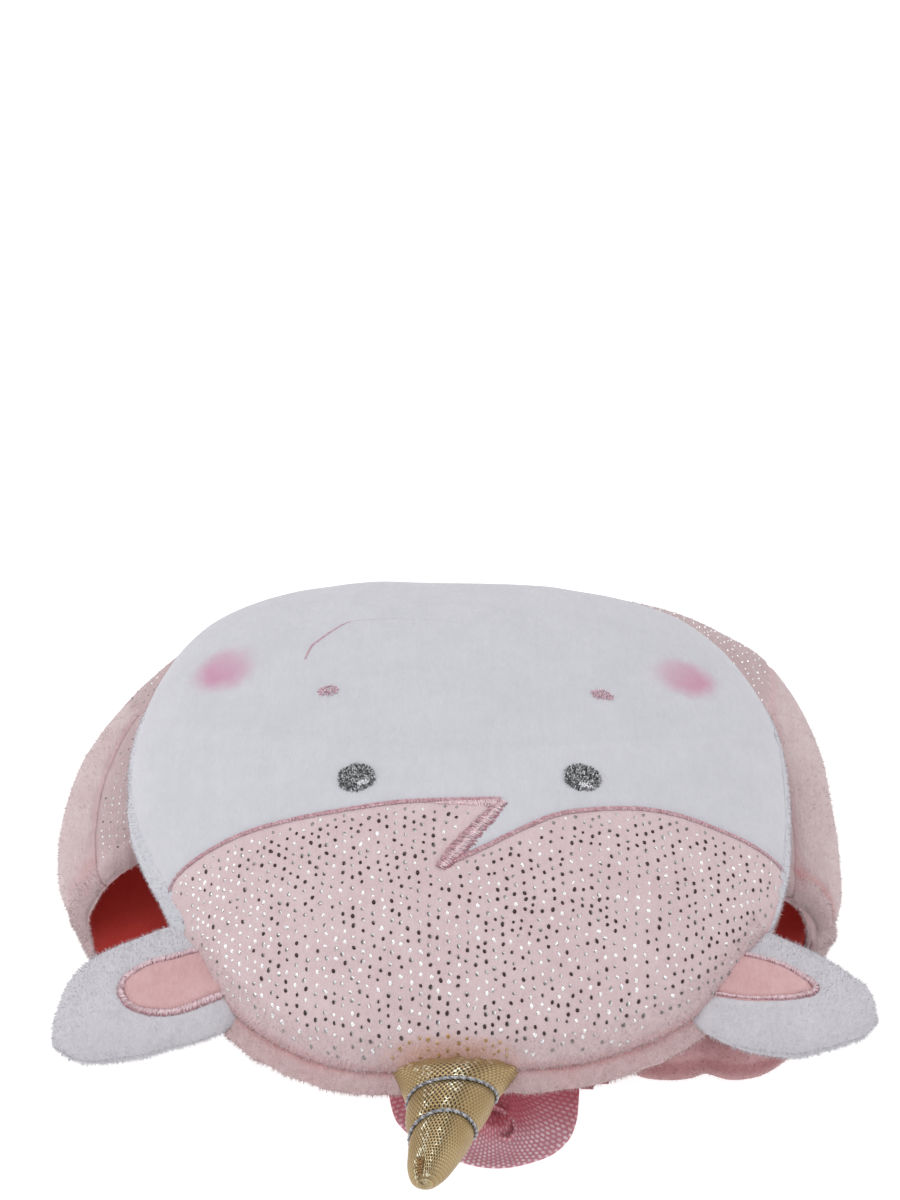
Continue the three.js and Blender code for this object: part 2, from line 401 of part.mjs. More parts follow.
// ---------------------------------------------------------------- straps
function strapGeometry(rows) {
  return loft(rows.map((r) => {
    const nx = -Math.sin(rad(r.d)), ny = Math.cos(rad(r.d));
    return Array.from({ length: 16 }, (_, i) => {
      const a = 2 * Math.PI * (i + 0.5) / 16, u = r.hw * pw(Math.cos(a), 2 / 3);
      const z = (r.zb + r.zt) / 2 + (r.zt - r.zb) / 2 * Math.sign(Math.sin(a)) * Math.min(1, Math.pow(Math.abs(Math.sin(a)), 2 / 3) * (r.zt > 10 ? 1 : 1.12));
      return [r.x + nx * u, r.y + ny * u, z];
    });
  }));
}
function tailGeometry(tail) {
  const d = [tail.to[0] - tail.from[0], tail.to[1] - tail.from[1]], l = Math.hypot(...d);
  const n = [-d[1] / l * WEB_W / 2, d[0] / l * WEB_W / 2];
  const grid = (dz) => TAIL_Z.map(({ k, z }) => [-1, 1].map((s) => [tail.from[0] + d[0] * k + s * n[0], tail.from[1] + d[1] * k + s * n[1], z + dz]));
  return slab(grid(WEB_T / 2), grid(-WEB_T / 2));
}
function lockGeometry(tail) {
  const d = [tail.to[0] - tail.from[0], tail.to[1] - tail.from[1]], a = Math.atan2(d[1], d[0]);
  const rect = (w, l, x) => [[x - l / 2, -w / 2], [x + l / 2, -w / 2], [x + l / 2, w / 2], [x - l / 2, w / 2]];
  const slot = (x) => solidOf(prism(rect(LOCK.slotW, LOCK.slotL, x), -1, LOCK.t + 1));
  const g = geometryOf(solidOf(prism(rect(LOCK.w, LOCK.l, 0), 0, LOCK.t)).subtract(slot(5.2 - LOCK.l / 2)).subtract(slot(LOCK.l / 2 - 5.2)));
  return g.rotateZ(a).translate(tail.from[0] + Math.cos(a) * (LOCK.along + 2), tail.from[1] + Math.sin(a) * (LOCK.along + 2), LOCK.z);
}
for (const [side, rows, tail] of [['left', STRAP_LEFT, TAIL_LEFT], ['right', STRAP_RIGHT, TAIL_RIGHT]]) {
  add(`strap_pad_${side}`, strapGeometry(rows), 0xeec3c8);
  add(`strap_web_${side}`, tailGeometry(tail), 0xd98f9b, 0.8);
  add(`adjuster_${side}`, lockGeometry(tail), 0xe7a6ae, 0.5);
}

group.position.set(-ORIGIN[0], -ORIGIN[1], -ORIGIN[2]);
export default group;
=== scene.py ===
# A child's plush unicorn-face backpack lying on its back, face up. Lengths in the
# tables are millimetres; the object is built in metres in the frame of the CAD.
import math

import bpy
import numpy as np
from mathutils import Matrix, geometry


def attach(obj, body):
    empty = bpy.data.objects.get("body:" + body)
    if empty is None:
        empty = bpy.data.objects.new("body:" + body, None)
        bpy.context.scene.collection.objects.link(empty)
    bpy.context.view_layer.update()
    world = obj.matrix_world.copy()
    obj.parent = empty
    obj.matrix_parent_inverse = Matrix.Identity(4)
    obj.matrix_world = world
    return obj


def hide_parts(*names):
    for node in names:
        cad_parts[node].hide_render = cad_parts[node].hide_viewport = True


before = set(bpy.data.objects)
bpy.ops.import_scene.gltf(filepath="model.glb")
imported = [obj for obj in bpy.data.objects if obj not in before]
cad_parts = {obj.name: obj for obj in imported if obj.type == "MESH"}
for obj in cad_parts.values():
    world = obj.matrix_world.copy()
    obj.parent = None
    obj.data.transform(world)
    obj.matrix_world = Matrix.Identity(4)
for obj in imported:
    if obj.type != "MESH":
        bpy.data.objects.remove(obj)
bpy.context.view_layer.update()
STEP = 1.25          # mesh size on the head, mm

ORIGIN = np.array([1.55, -9.9, 0.0])
scene = bpy.context.scene

# ------------------------------------------------------------------ sizes
HEAD_X, HEAD_Y = 4.0, 0.0
SEAM_Z, DOME_H, DOME_P, DOME_Q = 60.0, 38.0, 2.3, 1.8
UNDER_Z, UNDER_K = 42.0, 0.78
WELT_SIDE, WELT_NEAR = 0.6, 6.6
HEAD_R = [119.8, 124.7, 126.0, 115.2, 110.2, 118.9, 130.6, 126.0,
          118.3, 110.3, 117.3, 119.9, 112.6, 118.6, 122.0, 120.9]
MUZZLE_SEAM = [(-150, 62), (-113, 42), (-104, 33), (-89.5, 23.4), (-70.6, 12.4), (-45.1, 4.1),
               (-16.6, -0.5), (8.2, -1.9), (33.1, -0.2), (54.6, 3.2), (83.7, 10.8), (106.6, 20.7),
               (121, 32), (150, 48)]
HAIRLINE = [(-150, -46), (-104, -41.5), (-96.2, -37.6), (-79.7, -32.8), (-65.5, -30.2), (-33.8, -27.5),
            (-16.3, -25.9), (18.9, -24.9), (-2.4, -52.5), (11.5, -45.8), (28.9, -35.6), (39.5, -30.3),
            (53.6, -26.8), (67.8, -24.7), (82, -24.8), (96.3, -26.9), (107.2, -28.4), (118, -30),
            (150, -33)]
EAR_LEFT = dict(root=(-88, -73.5), angle=207.5, z=57, flip=-1, rows=[
    (-14, 0.0, 22.5, 5.5), (0, 0.2, 24.8, 7.2), (10, 0.3, 24.8, 8.2), (20, 1.3, 23.8, 8.6),
    (28, 1.3, 22.8, 8.4), (36, 0.8, 19.8, 7.6), (42, -0.4, 16.4, 6.6), (47, -2.3, 12.3, 5.4),
    (51, -2.7, 7.8, 3.8), (53.5, -3.0, 2.6, 1.6)],
    inner=[(-6, -4.0, 11.0), (4, -4.0, 11.6), (12, -3.2, 12.0), (20, -2.4, 10.2), (25, -1.8, 6.6), (28, -1.5, 1.6)])
EAR_RIGHT = dict(root=(102.6, -74.3), angle=-19.3, z=57, flip=1, rows=[
    (-14, -1.0, 22.5, 5.5), (0, -2.0, 24.5, 7.2), (10, -2.8, 24.3, 8.2), (20, -3.2, 22.7, 8.6),
    (28, -2.9, 20.2, 8.2), (36, -1.8, 15.8, 7.2), (42, -0.8, 11.8, 5.8), (46, -1.8, 7.2, 4.0),
    (48, -1.5, 2.6, 1.6)],
    inner=[(-6, -3.2, 10.4), (4, -3.0, 10.0), (12, -2.6, 8.6), (20, -2.0, 5.8), (25, -1.3, 3.0), (27, -1.0, 1.0)])
# horn: y, x, rx, rz, z
HORN = [(-104, 3.2, 21.0, 7.0, 57.5), (-113, 2.9, 21.8, 9.0, 57.5), (-118, 2.2, 18.6, 11.6, 57.2),
        (-122.2, 1.3, 16.2, 12.6, 57.0), (-126, 0.8, 14.8, 12.8, 56.8), (-132, -0.8, 13.2, 12.4, 56.4),
        (-138, -2.1, 11.2, 11.0, 56.0), (-145.5, -4.2, 8.9, 9.0, 55.4), (-151, -5.9, 7.0, 7.2, 55.0),
        (-155, -7.2, 4.6, 4.8, 54.8), (-156.8, -7.8, 1.7, 1.8, 54.7)]
CORD = [(-70, -119.6), (0, -122.5), (90, -123.6), (180, -126), (270, -132), (360, -136.2), (450, -135.4),
        (540, -139.6), (610, -144)]
# sack: y, x, half width, bottom, top
SACK = [(137, 6.0, 40, 16, 27), (134, 7.0, 70, 9.5, 33), (127, 7.2, 92, 4.5, 38), (115, 7.4, 108, 1.8, 40.5),
        (104, 7.5, 119, 1.0, 41), (85, 6.0, 130, 0.8, 41.4), (60, 3.0, 140, 0.8, 41.4), (30, 0.5, 145, 0.8, 41.4),
        (0, 1.0, 145, 0.8, 41.4), (-20, 3.0, 141, 0.8, 41.4), (-42, 5.5, 134, 0.8, 41), (-60, 6.0, 124, 0.8, 40)]
SACK_M, LIFT_PAST, LIFT_FADE, SACK_JOIN_Y, SEAM_DEG, CLOTH = 2.8, 3.0, 20.0, 72.0, 30.0, 3.0
MOUTH = [(0, -30), (30, -18), (45, -9), (60, -3), (90, 0), (118, 2), (132, 1), (140, -4), (150, -12),
         (165, -22), (180, -30), (200, -40), (220, -50), (240, -56), (270, -58), (296, -52), (310, -42),
         (325, -37), (340, -34), (360, -30)]
NECK_X = (-58, 62)
NECK = [(-59.0, 8.9), (-66, 8.8), (-74, 10.6), (-81, 16), (-85, 24), (-86.5, 33), (-86, 41.6)]
HANDLE_Z, HANDLE_DROOP = 11.6, 10.0
HANDLE_OUTER = [(47.5, -79.6), (46.6, -92), (45.6, -99), (42.5, -106), (35, -112), (20.5, -116),
                (6.3, -114.3), (-7, -108.5), (-15.5, -101.5), (-19.3, -95), (-22.2, -79.6)]
HANDLE_INNER = [(22.3, -79.6), (21.8, -90), (21.2, -100), (19.2, -102.4), (15, -101.8), (8.5, -97.5),
                (4.2, -90), (2.6, -79.6)]
TAB = [(47.6, -83.8), (47.3, -89.6), (51.8, -89.8), (51.9, -87.6), (57.4, -87.3), (57.9, -83.8)]
# straps: x, y, heading, half width, bottom, top
STRAP_RIGHT = [(64.5, -65, 0, 8.5, 1.5, 19), (69, -66, 0, 11.5, 0, 23), (79, -67, 0, 12.5, 0, 25.5),
               (88, -66.5, 0, 12, 0, 25), (93, -65.5, 0, 10.5, 0, 22), (101, -67, 6, 12.5, 0, 24.5),
               (109, -65.5, 28, 12.5, 0, 22), (115, -59, 62, 12.5, 0, 14), (115, -50, 92, 14, 0, 7.2),
               (110.5, -33, 104, 17, 0, 6.9), (101, -12, 104, 19.5, 0, 6.9), (96, 8, 98, 20, 0, 6.9),
               (94, 24, 88, 18.5, 0, 6.9), (94.5, 32, 82, 14, 0.6, 6.4)]
STRAP_LEFT = [(-47, -64, 96, 13, 0.6, 6.2), (-48, -56, 96, 18, 0, 6.9), (-52, -28, 98, 20, 0, 6.9),
              (-57, 2, 99, 20, 0, 6.9), (-61, 24, 104, 18.5, 0, 6.9), (-63.5, 32, 108, 14, 0.6, 6.4)]
WEB_W, WEB_T = 25.0, 1.6
TAIL_RIGHT = ((94.8, 33.2), (98, 71.2))
TAIL_LEFT = ((-64.1, 33.4), (-75, 71.2))
TAIL_Z = [(0, 4.4), (0.6, 4.4), (0.8, 4.2), (1, 3.2)]
# embroidery on the face: middle x, y and half sizes
EYES = [(-31.9, -14.4, 6.6, 5.9, 14.0), (47.6, -14.2, 6.6, 5.6, -12.0)]
NOSTRILS = [(-42.8, 27.8, 4.0, 2.6), (56.1, 26.4, 4.2, 2.4)]
CHEEKS = [(-81.5, 48.6, 13.4, 14.0), (87.0, 43.3, 14.0, 12.0)]
SMILE = [(-51.8, 46.1), (-49.4, 53.2), (-46.2, 56.9), (-42.6, 60.9), (-36.1, 66.6), (-26.1, 67.9), (-10.6, 67.6),
         (2.1, 66.4)]


# ------------------------------------------------------------------ small maths
def table(rows, key, field, n=500):
    """A smooth curve through a table's column, as a function."""
    t = sorted(rows, key=lambda r: r[key])
    x = np.array([r[key] for r in t], float)
    y = np.array([r[field] for r in t], float)
    m = np.empty_like(y)
    m[1:-1] = (y[2:] - y[:-2]) / (x[2:] - x[:-2])
    m[0], m[-1] = (y[1] - y[0]) / (x[1] - x[0]), (y[-1] - y[-2]) / (x[-1] - x[-2])
    xs = np.linspace(x[0], x[-1], n)
    i = np.clip(np.searchsorted(x, xs, side="right") - 1, 0, len(x) - 2)
    h = x[i + 1] - x[i]
    u = (xs - x[i]) / h
    ys = ((2 * u**3 - 3 * u**2 + 1) * y[i] + (u**3 - 2 * u**2 + u) * m[i] * h
          + (-2 * u**3 + 3 * u**2) * y[i + 1] + (u**3 - u**2) * m[i + 1] * h)
    return lambda v: np.interp(v, xs, ys)


def pw(v, e):
    return np.sign(v) * np.abs(v) ** e


def smooth(a, b, v):
    u = np.clip((np.asarray(v, float) - a) / (b - a), 0, 1)
    return u * u * (3 - 2 * u)


def noise(P, size, seed=0):
    """Smooth lattice noise from -1 to 1. P is (..., 3) in mm."""
    q = np.asarray(P, float) / size + seed * 13.7 + 311.0
    i = np.floor(q).astype(np.int64)
    f = q - i
    u = f * f * (3 - 2 * f)

    def h(a, b, c):
        n = (i[..., 0] + a) * 374761393 + (i[..., 1] + b) * 668265263 + (i[..., 2] + c) * 1440662683 + seed * 97
        n = (n ^ (n >> 13)) * 1274126177
        n = n ^ (n >> 16)
        return (n & 0xFFFF) / 32767.5 - 1.0

    ux, uy, uz = u[..., 0], u[..., 1], u[..., 2]
    x00 = h(0, 0, 0) * (1 - ux) + h(1, 0, 0) * ux
    x10 = h(0, 1, 0) * (1 - ux) + h(1, 1, 0) * ux
    x01 = h(0, 0, 1) * (1 - ux) + h(1, 0, 1) * ux
    x11 = h(0, 1, 1) * (1 - ux) + h(1, 1, 1) * ux
    return (x00 * (1 - uy) + x10 * uy) * (1 - uz) + (x01 * (1 - uy) + x11 * uy) * uz


def fbm(P, size, seed=0, octaves=3):
    return sum(noise(P, size / 2**k, seed + k) * 0.5**k for k in range(octaves))


def unit(v):
    return v / np.maximum(np.linalg.norm(v, axis=-1, keepdims=True), 1e-12)


def resample(points, step, closed=False):
    p = np.array(points, float)
    if closed:
        p = np.vstack([p, p[:1]])
    s = np.concatenate([[0], np.cumsum(np.linalg.norm(np.diff(p, axis=0), axis=1))])
    n = max(2, int(round(s[-1] / step)) + 1)
    t = np.linspace(0, s[-1], n)
    out = np.stack([np.interp(t, s, p[:, k]) for k in range(p.shape[1])], 1)
    return out[:-1] if closed else out


def curve_through(points, per=12, corners=()):
    """Catmull-Rom through the points, broken at the corners' indices."""
    p = np.array(points, float)
    out = []
    for i in range(len(p) - 1):
        a = p[i] if (i == 0 or i in corners) else p[i - 1]
        d = p[i + 1] if (i + 2 >= len(p) or (i + 1) in corners) else p[i + 2]
        b, c = p[i], p[i + 1]
        if i == 0 or i in corners:
            a = 2 * b - c
        if i + 2 >= len(p) or (i + 1) in corners:
            d = 2 * c - b
        u = np.linspace(0, 1, per, endpoint=False)[:, None]
        out.append(0.5 * (2 * b + (c - a) * u + (2 * a - 5 * b + 4 * c - d) * u**2 + (3 * b - a - 3 * c + d) * u**3))
    out.append(p[-1:])
    return np.vstack(out)


# ------------------------------------------------------------------ meshes
def make(name, V, F, mat, smooth_faces=True, uv=None, color=None, weld=False):
    """A mesh object from points in mm (working frame) and faces. uv is (n, 2), color is (n, 3)."""
    V = (np.asarray(V, float).reshape(-1, 3) - ORIGIN) / 1000.0
    me = bpy.data.meshes.new(name)
    F = [np.asarray(f, np.int64) for f in (F if isinstance(F, list) else [F]) if len(f)]
    loops = np.concatenate([f.ravel() for f in F])
    counts = np.concatenate([np.full(len(f), f.shape[1]) for f in F])
    starts = np.concatenate([[0], np.cumsum(counts)[:-1]])
    me.vertices.add(len(V))
    me.vertices.foreach_set("co", V.ravel())
    me.loops.add(len(loops))
    me.loops.foreach_set("vertex_index", loops.astype(np.int32))
    me.polygons.add(len(counts))
    me.polygons.foreach_set("loop_start", starts.astype(np.int32))
    me.polygons.foreach_set("loop_total", counts.astype(np.int32))
    me.polygons.foreach_set("use_smooth", np.full(len(counts), smooth_faces))
    if uv is not None:
        layer = me.uv_layers.new(name="UVMap")
        layer.data.foreach_set("uv", np.asarray(uv, np.float32)[loops].ravel())
    if color is not None:
        c = np.ones((len(V), 4), np.float32)
        c[:, : np.asarray(color).shape[1]] = color
        att = me.color_attributes.new("tone", "FLOAT_COLOR", "POINT")
        att.data.foreach_set("color", c.ravel())
    me.update()
    me.validate()
    o = bpy.data.objects.new(name, me)
    scene.collection.objects.link(o)
    me.materials.append(mat)
    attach(o, "root")
    return o


def grid_faces(nv, nu, wrap=False, base=0, flip=False):
    j, i = np.meshgrid(np.arange(nv - 1), np.arange(nu if wrap else nu - 1), indexing="ij")
    k = (i + 1) % nu
    f = np.stack([j * nu + i, j * nu + k, (j + 1) * nu + k, (j + 1) * nu + i], -1).reshape(-1, 4) + base
    return f[:, ::-1] if flip else f


def grid_normals(G, wrap=False):
    dv = np.gradient(G, axis=0)
    if wrap:
        du = (np.roll(G, -1, 1) - np.roll(G, 1, 1)) / 2
    else:
        du = np.gradient(G, axis=1)
    return unit(np.cross(du, dv))


def slab(outer, inner):
    """Faces and points of a closed sheet between two matching grids."""
    nv, nu = outer.shape[:2]
    V = np.concatenate([outer.reshape(-1, 3), inner.reshape(-1, 3)])
    n = nv * nu
    F = [grid_faces(nv, nu), grid_faces(nv, nu, base=n, flip=True)]
    j = np.arange(nv - 1)
    i = np.arange(nu - 1)
    F.append(np.stack([j * nu, (j + 1) * nu, n + (j + 1) * nu, n + j * nu], 1))
    F.append(np.stack([(j + 1) * nu + nu - 1, j * nu + nu - 1, n + j * nu + nu - 1, n + (j + 1) * nu + nu - 1], 1))
    F.append(np.stack([i + 1, i, n + i, n + i + 1], 1))
    F.append(np.stack([(nv - 1) * nu + i, (nv - 1) * nu + i + 1, n + (nv - 1) * nu + i + 1, n + (nv - 1) * nu + i], 1))
    return V, F


def tube_grid(path, radius, sides=8, turn=0.0, flat=None):
    """Rings round a path: (n, sides, 3). radius is a number or one per point."""
    p = np.asarray(path, float)
    t = unit(np.gradient(p, axis=0))
    up = np.array([0.0, 0.0, 1.0])
    n = np.empty_like(p)
    ref = np.cross(t[0], up if abs(t[0] @ up) < 0.9 else [1.0, 0, 0])
    for k in range(len(p)):
        ref = ref - t[k] * (ref @ t[k])
        ref = ref / np.linalg.norm(ref)
        n[k] = ref
    b = np.cross(t, n)
    a = 2 * np.pi * np.arange(sides) / sides + turn
    r = np.broadcast_to(np.asarray(radius, float), (len(p),))[:, None, None]
    return p[:, None] + r * (np.cos(a)[None, :, None] * n[:, None] + np.sin(a)[None, :, None] * b[:, None])


def tube(path, radius, sides=8):
    """Points and faces of a closed tube."""
    G = tube_grid(path, radius, sides)
    nv = len(G)
    V = np.concatenate([G.reshape(-1, 3), [G[0].mean(0)], [G[-1].mean(0)]])
    i = np.arange(sides)
    k = (i + 1) % sides
    F = [grid_faces(nv, sides, wrap=True), np.stack([np.full(sides, nv * sides), k, i], 1),
         np.stack([np.full(sides, nv * sides + 1), (nv - 1) * sides + i, (nv - 1) * sides + k], 1)]
    return V, F


def merge(parts):
    """Several (V, F[, C]) as one."""
    V, Q, C, at = [], {}, [], 0
    for p in parts:
        V.append(p[0])
        for f in p[1]:
            if len(f):
                Q.setdefault(np.asarray(f).shape[1], []).append(np.asarray(f) + at)
        if len(p) > 2:
            C.append(np.broadcast_to(p[2], (len(p[0]), 3)))
        at += len(p[0])
    return np.concatenate(V), [np.concatenate(q) for q in Q.values()], (np.concatenate(C) if C else None)


def lofted(G):
    """A closed form from rings (nv, nu, 3), each end closed by a fan."""
    nv, nu = G.shape[:2]
    V = np.concatenate([G.reshape(-1, 3), [G[0].mean(0)], [G[-1].mean(0)]])
    i = np.arange(nu)
    k = (i + 1) % nu
    return V, [grid_faces(nv, nu, wrap=True), np.stack([np.full(nu, nv * nu), k, i], 1),
               np.stack([np.full(nu, nv * nu + 1), (nv - 1) * nu + i, (nv - 1) * nu + k], 1)]


def fibres(name, P, N, mat, seed, length=1.8, width=0.3, comb=(0, 0, 0), spread=0.55, tone=None):
    """One small tapered blade at each point, turned to face outwards and shaded like the pile that it grows from."""
    rng = np.random.default_rng(seed)
    n = len(P)
    d = unit(N + np.asarray(comb, float) + spread * rng.standard_normal((n, 3)))
    low = (d * N).sum(1) < 0.15
    d[low] = unit(N[low] + 0.4 * d[low])
    L = (length * (0.5 + 0.9 * rng.random(n)))[:, None]
    w = (width * (0.7 + 0.6 * rng.random(n)))[:, None] / 2
    side = unit(np.cross(d, N) + 0.25 * rng.standard_normal((n, 3))) * w
    tip = P + d * L
    base = P - N * 0.2
    face = np.cross(side, tip - base)
    side[(face * N).sum(1) < 0] *= -1
    V = np.stack([base - side, base + side, tip], 1).reshape(-1, 3)
    t = np.clip((0.75 if tone is None else tone) + 0.22 * rng.standard_normal(n), 0, 1)
    o = make(name, V, [np.arange(3 * n).reshape(n, 3)], mat, color=np.stack([np.repeat(t, 3)] * 3, 1))
    lean = unit(N + 0.22 * rng.standard_normal((n, 3)))
    o.data.normals_split_custom_set_from_vertices(np.repeat(lean, 3, axis=0).tolist())
    o.visible_shadow = False
    return o


def scatter(G, N, count, seed, weight=None, wrap=False):
    """Random points on a grid surface, by area times weight."""
    rng = np.random.default_rng(seed)
    if wrap:
        G, N = np.concatenate([G, G[:, :1]], 1), np.concatenate([N, N[:, :1]], 1)
        weight = None if weight is None else np.concatenate([weight, weight[:, :1]], 1)
    a, b, d = G[:-1, :-1], G[:-1, 1:], G[1:, :-1]
    w = np.linalg.norm(np.cross(b - a, d - a), axis=-1)
    if weight is not None:
        w = w * weight[:-1, :-1]
    w = w.ravel() / w.sum()
    c = rng.choice(len(w), count, p=w)
    j, i = np.unravel_index(c, (G.shape[0] - 1, G.shape[1] - 1))
    u, v = rng.random((2, count, 1))

    def at(Q):
        return (Q[j, i] * (1 - u) + Q[j, i + 1] * u) * (1 - v) + (Q[j + 1, i] * (1 - u) + Q[j + 1, i + 1] * u) * v

    return at(G), unit(at(N))


MANY = 1.0


# ------------------------------------------------------------------ materials
class Look:
    """A material's nodes, added one at a time. Inputs are values or other nodes' sockets."""

    def __init__(self, name):
        self.mat = bpy.data.materials.new(name)
        self.mat.use_nodes = True
        self.tree = self.mat.node_tree
        self.tree.nodes.clear()
        self.out = self.tree.nodes.new("ShaderNodeOutputMaterial")
        self.at = 0

    def add(self, kind, inputs=None, **props):
        n = self.tree.nodes.new("ShaderNode" + kind)
        self.at += 1
        n.location = (-220 * (self.at % 9), -260 * (self.at // 9))
        for k, v in props.items():
            setattr(n, k, v)
        for k, v in (inputs or {}).items():
            s = n.inputs[k]
            if isinstance(v, bpy.types.NodeSocket):
                self.tree.links.new(v, s)
            elif isinstance(v, bpy.types.Node):
                self.tree.links.new(v.outputs[0], s)
            else:
                s.default_value = v
        return n

    def where(self, scale=(1, 1, 1), source="Object"):
        c = self.add("TexCoord")
        return self.add("Mapping", {"Vector": c.outputs[source], "Scale": scale}).outputs[0]

    def noise(self, vector, scale, detail=2.0, rough=0.5):
        return self.add("TexNoise", {"Vector": vector, "Scale": scale, "Detail": detail, "Roughness": rough}).outputs[0]

    def math(self, op, a, b=0.0, c=0.0, clamp=False):
        n = self.add("Math", operation=op, use_clamp=clamp)
        for k, v in enumerate((a, b, c)):
            if isinstance(v, (bpy.types.NodeSocket,)):
                self.tree.links.new(v, n.inputs[k])
            else:
                n.inputs[k].default_value = v
        return n.outputs[0]

    def remap(self, v, a, b, c, d, smooth_step=True):
        n = self.add("MapRange", {0: v, 1: a, 2: b, 3: c, 4: d})
        n.interpolation_type = "SMOOTHSTEP" if smooth_step else "LINEAR"
        return n.outputs[0]

    def mix(self, fac, a, b, blend="MIX"):
        n = self.add("Mix", data_type="RGBA", blend_type=blend)
        for key, v in ((0, fac), (6, a), (7, b)):
            if isinstance(v, bpy.types.NodeSocket):
                self.tree.links.new(v, n.inputs[key])
            elif key == 0:
                n.inputs[key].default_value = v
            else:
                n.inputs[key].default_value = (*v, 1.0) if len(v) == 3 else v
        return n.outputs[2]

    def bump(self, height, distance, strength=1.0, normal=None):
        n = self.add("Bump", {"Height": height, "Distance": distance, "Strength": strength})
        if normal is not None:
            self.tree.links.new(normal, n.inputs["Normal"])
        return n.outputs[0]

    def surface(self, **inputs):
        n = self.add("BsdfPrincipled")
        for k, v in inputs.items():
            s = n.inputs[k.replace("_", " ")]
            if isinstance(v, bpy.types.NodeSocket):
                self.tree.links.new(v, s)
            else:
                s.default_value = (*v, 1.0) if isinstance(v, tuple) and len(v) == 3 else v
        self.tree.links.new(n.outputs[0], self.out.inputs[0])
        return self.mat


def lin(r, g, b):
    """sRGB 0..255 to linear."""
    return tuple(((c / 255 + 0.055) / 1.055) ** 2.4 if c > 10 else c / 255 / 12.92 for c in (r, g, b))


def plush(name, color, shade, sheen=0.2, pile=1.0, grain=0.5, blush_and_bounce=None, crease_shade=None):
    """Short soft pile. color and shade are the brushed and ruffled tones; where the tone attribute's red marks creases,
    seams and hollows, the crease colour is mixed in as painted shade.
    """
    k = Look(name)
    at = k.where()
    fine = k.noise(k.where((1, 0.55, 1)), 900, 3.0, 0.65)
    streak = k.noise(k.where((1, 0.16, 0.6)), 420, 2.0, 0.6)
    cloud = k.noise(at, 55, 3.0, 0.55)
    ruffle = k.noise(at, 210, 2.0, 0.5)
    tone = k.math("ADD", k.math("MULTIPLY", k.remap(cloud, 0.35, 0.68, 0, 1), 0.34),
                  k.math("ADD", k.math("MULTIPLY", k.remap(fine, 0.3, 0.72, 0, 1), 0.34),
                         k.math("ADD", k.math("MULTIPLY", k.remap(streak, 0.32, 0.7, 0, 1), 0.2),
                                k.math("MULTIPLY", k.remap(ruffle, 0.35, 0.7, 0, 1), 0.2))), clamp=True)
    col = k.mix(tone, shade, color)
    # colour spots: real blush on the cheeks, and painted gold bounce light from the horn at its base
    for b in blush_and_bounce or ():
        pos = k.add("SeparateXYZ", {0: k.add("TexCoord").outputs["Object"]})
        x, y, rx, ry = b["spot"]
        dx = k.math("DIVIDE", k.math("SUBTRACT", pos.outputs[0], (x - ORIGIN[0]) / 1000), rx / 1000)
        dy = k.math("DIVIDE", k.math("SUBTRACT", pos.outputs[1], (y - ORIGIN[1]) / 1000), ry / 1000)
        d = k.math("SQRT", k.math("ADD", k.math("MULTIPLY", dx, dx), k.math("MULTIPLY", dy, dy)))
        d = k.math("ADD", d, k.math("MULTIPLY", k.math("SUBTRACT", k.noise(at, 160, 2.0), 0.5), 0.4))
        lean = b.get("lean", (0, 0))
        side = k.math("ADD", k.math("MULTIPLY", dx, lean[0]), k.math("MULTIPLY", dy, lean[1]))
        amount = k.math("MULTIPLY", k.remap(d, 1.12, 0.35, 0, 1), k.math("ADD", side, b["amount"], clamp=True))
        col = k.mix(amount, col, b["color"])
    # painted shade: the crease colour laid into creases, seams and hollows
    if crease_shade:
        crease_shade_mark = k.add("SeparateColor", {0: k.add("VertexColor", layer_name="tone").outputs[0]})
        col = k.mix(k.math("MULTIPLY", crease_shade_mark.outputs[0], k.remap(fine, 0.3, 0.7, 0.6, 1.0), clamp=True), col, crease_shade)
    height = k.math("ADD", k.math("MULTIPLY", fine, 1.0), k.math("ADD", k.math("MULTIPLY", streak, 0.8), k.math("MULTIPLY", ruffle, 1.1)))
    bump = k.bump(height, 0.0009 * pile, grain)
    return k.surface(Base_Color=col, Roughness=1.0, Specular_IOR_Level=0.1, Sheen_Weight=sheen, Sheen_Roughness=0.5,
                     Sheen_Tint=(1.0, 0.97, 0.98), Normal=bump)


def strands(name, color, shade):
    """Loose fibres that stand off the pile; the tone attribute's red picks dark to light. Their colours and a faint
    glow are painted light that makes up for the shade among the blades.
    """
    k = Look(name)
    tone = k.add("SeparateColor", {0: k.add("VertexColor", layer_name="tone").outputs[0]})
    cloud = k.noise(k.where(), 220, 2.0)
    col = k.mix(k.math("MULTIPLY", tone.outputs[0], k.remap(cloud, 0.3, 0.7, 0.8, 1.2)), shade, color)
    return k.surface(Base_Color=col, Roughness=0.9, Specular_IOR_Level=0.15, Sheen_Weight=0.15, Emission_Color=color, Emission_Strength=0.10)


def thread(name, color, dark, rough=0.38, metallic=0.0, sheen=0.2, spec=0.6):
    """Embroidery or sewing thread; the tone attribute's red picks dark to light."""
    k = Look(name)
    tone = k.add("SeparateColor", {0: k.add("VertexColor", layer_name="tone").outputs[0]})
    fine = k.noise(k.where(), 2600, 2.0)
    t = k.math("MULTIPLY", tone.outputs[0], k.remap(fine, 0.3, 0.7, 0.75, 1.15))
    col = k.mix(t, dark, color)
    return k.surface(Base_Color=col, Roughness=rough, Metallic=metallic, Specular_IOR_Level=spec, Sheen_Weight=sheen,
                     Sheen_Roughness=0.4, Normal=k.bump(fine, 0.0002, 0.4))


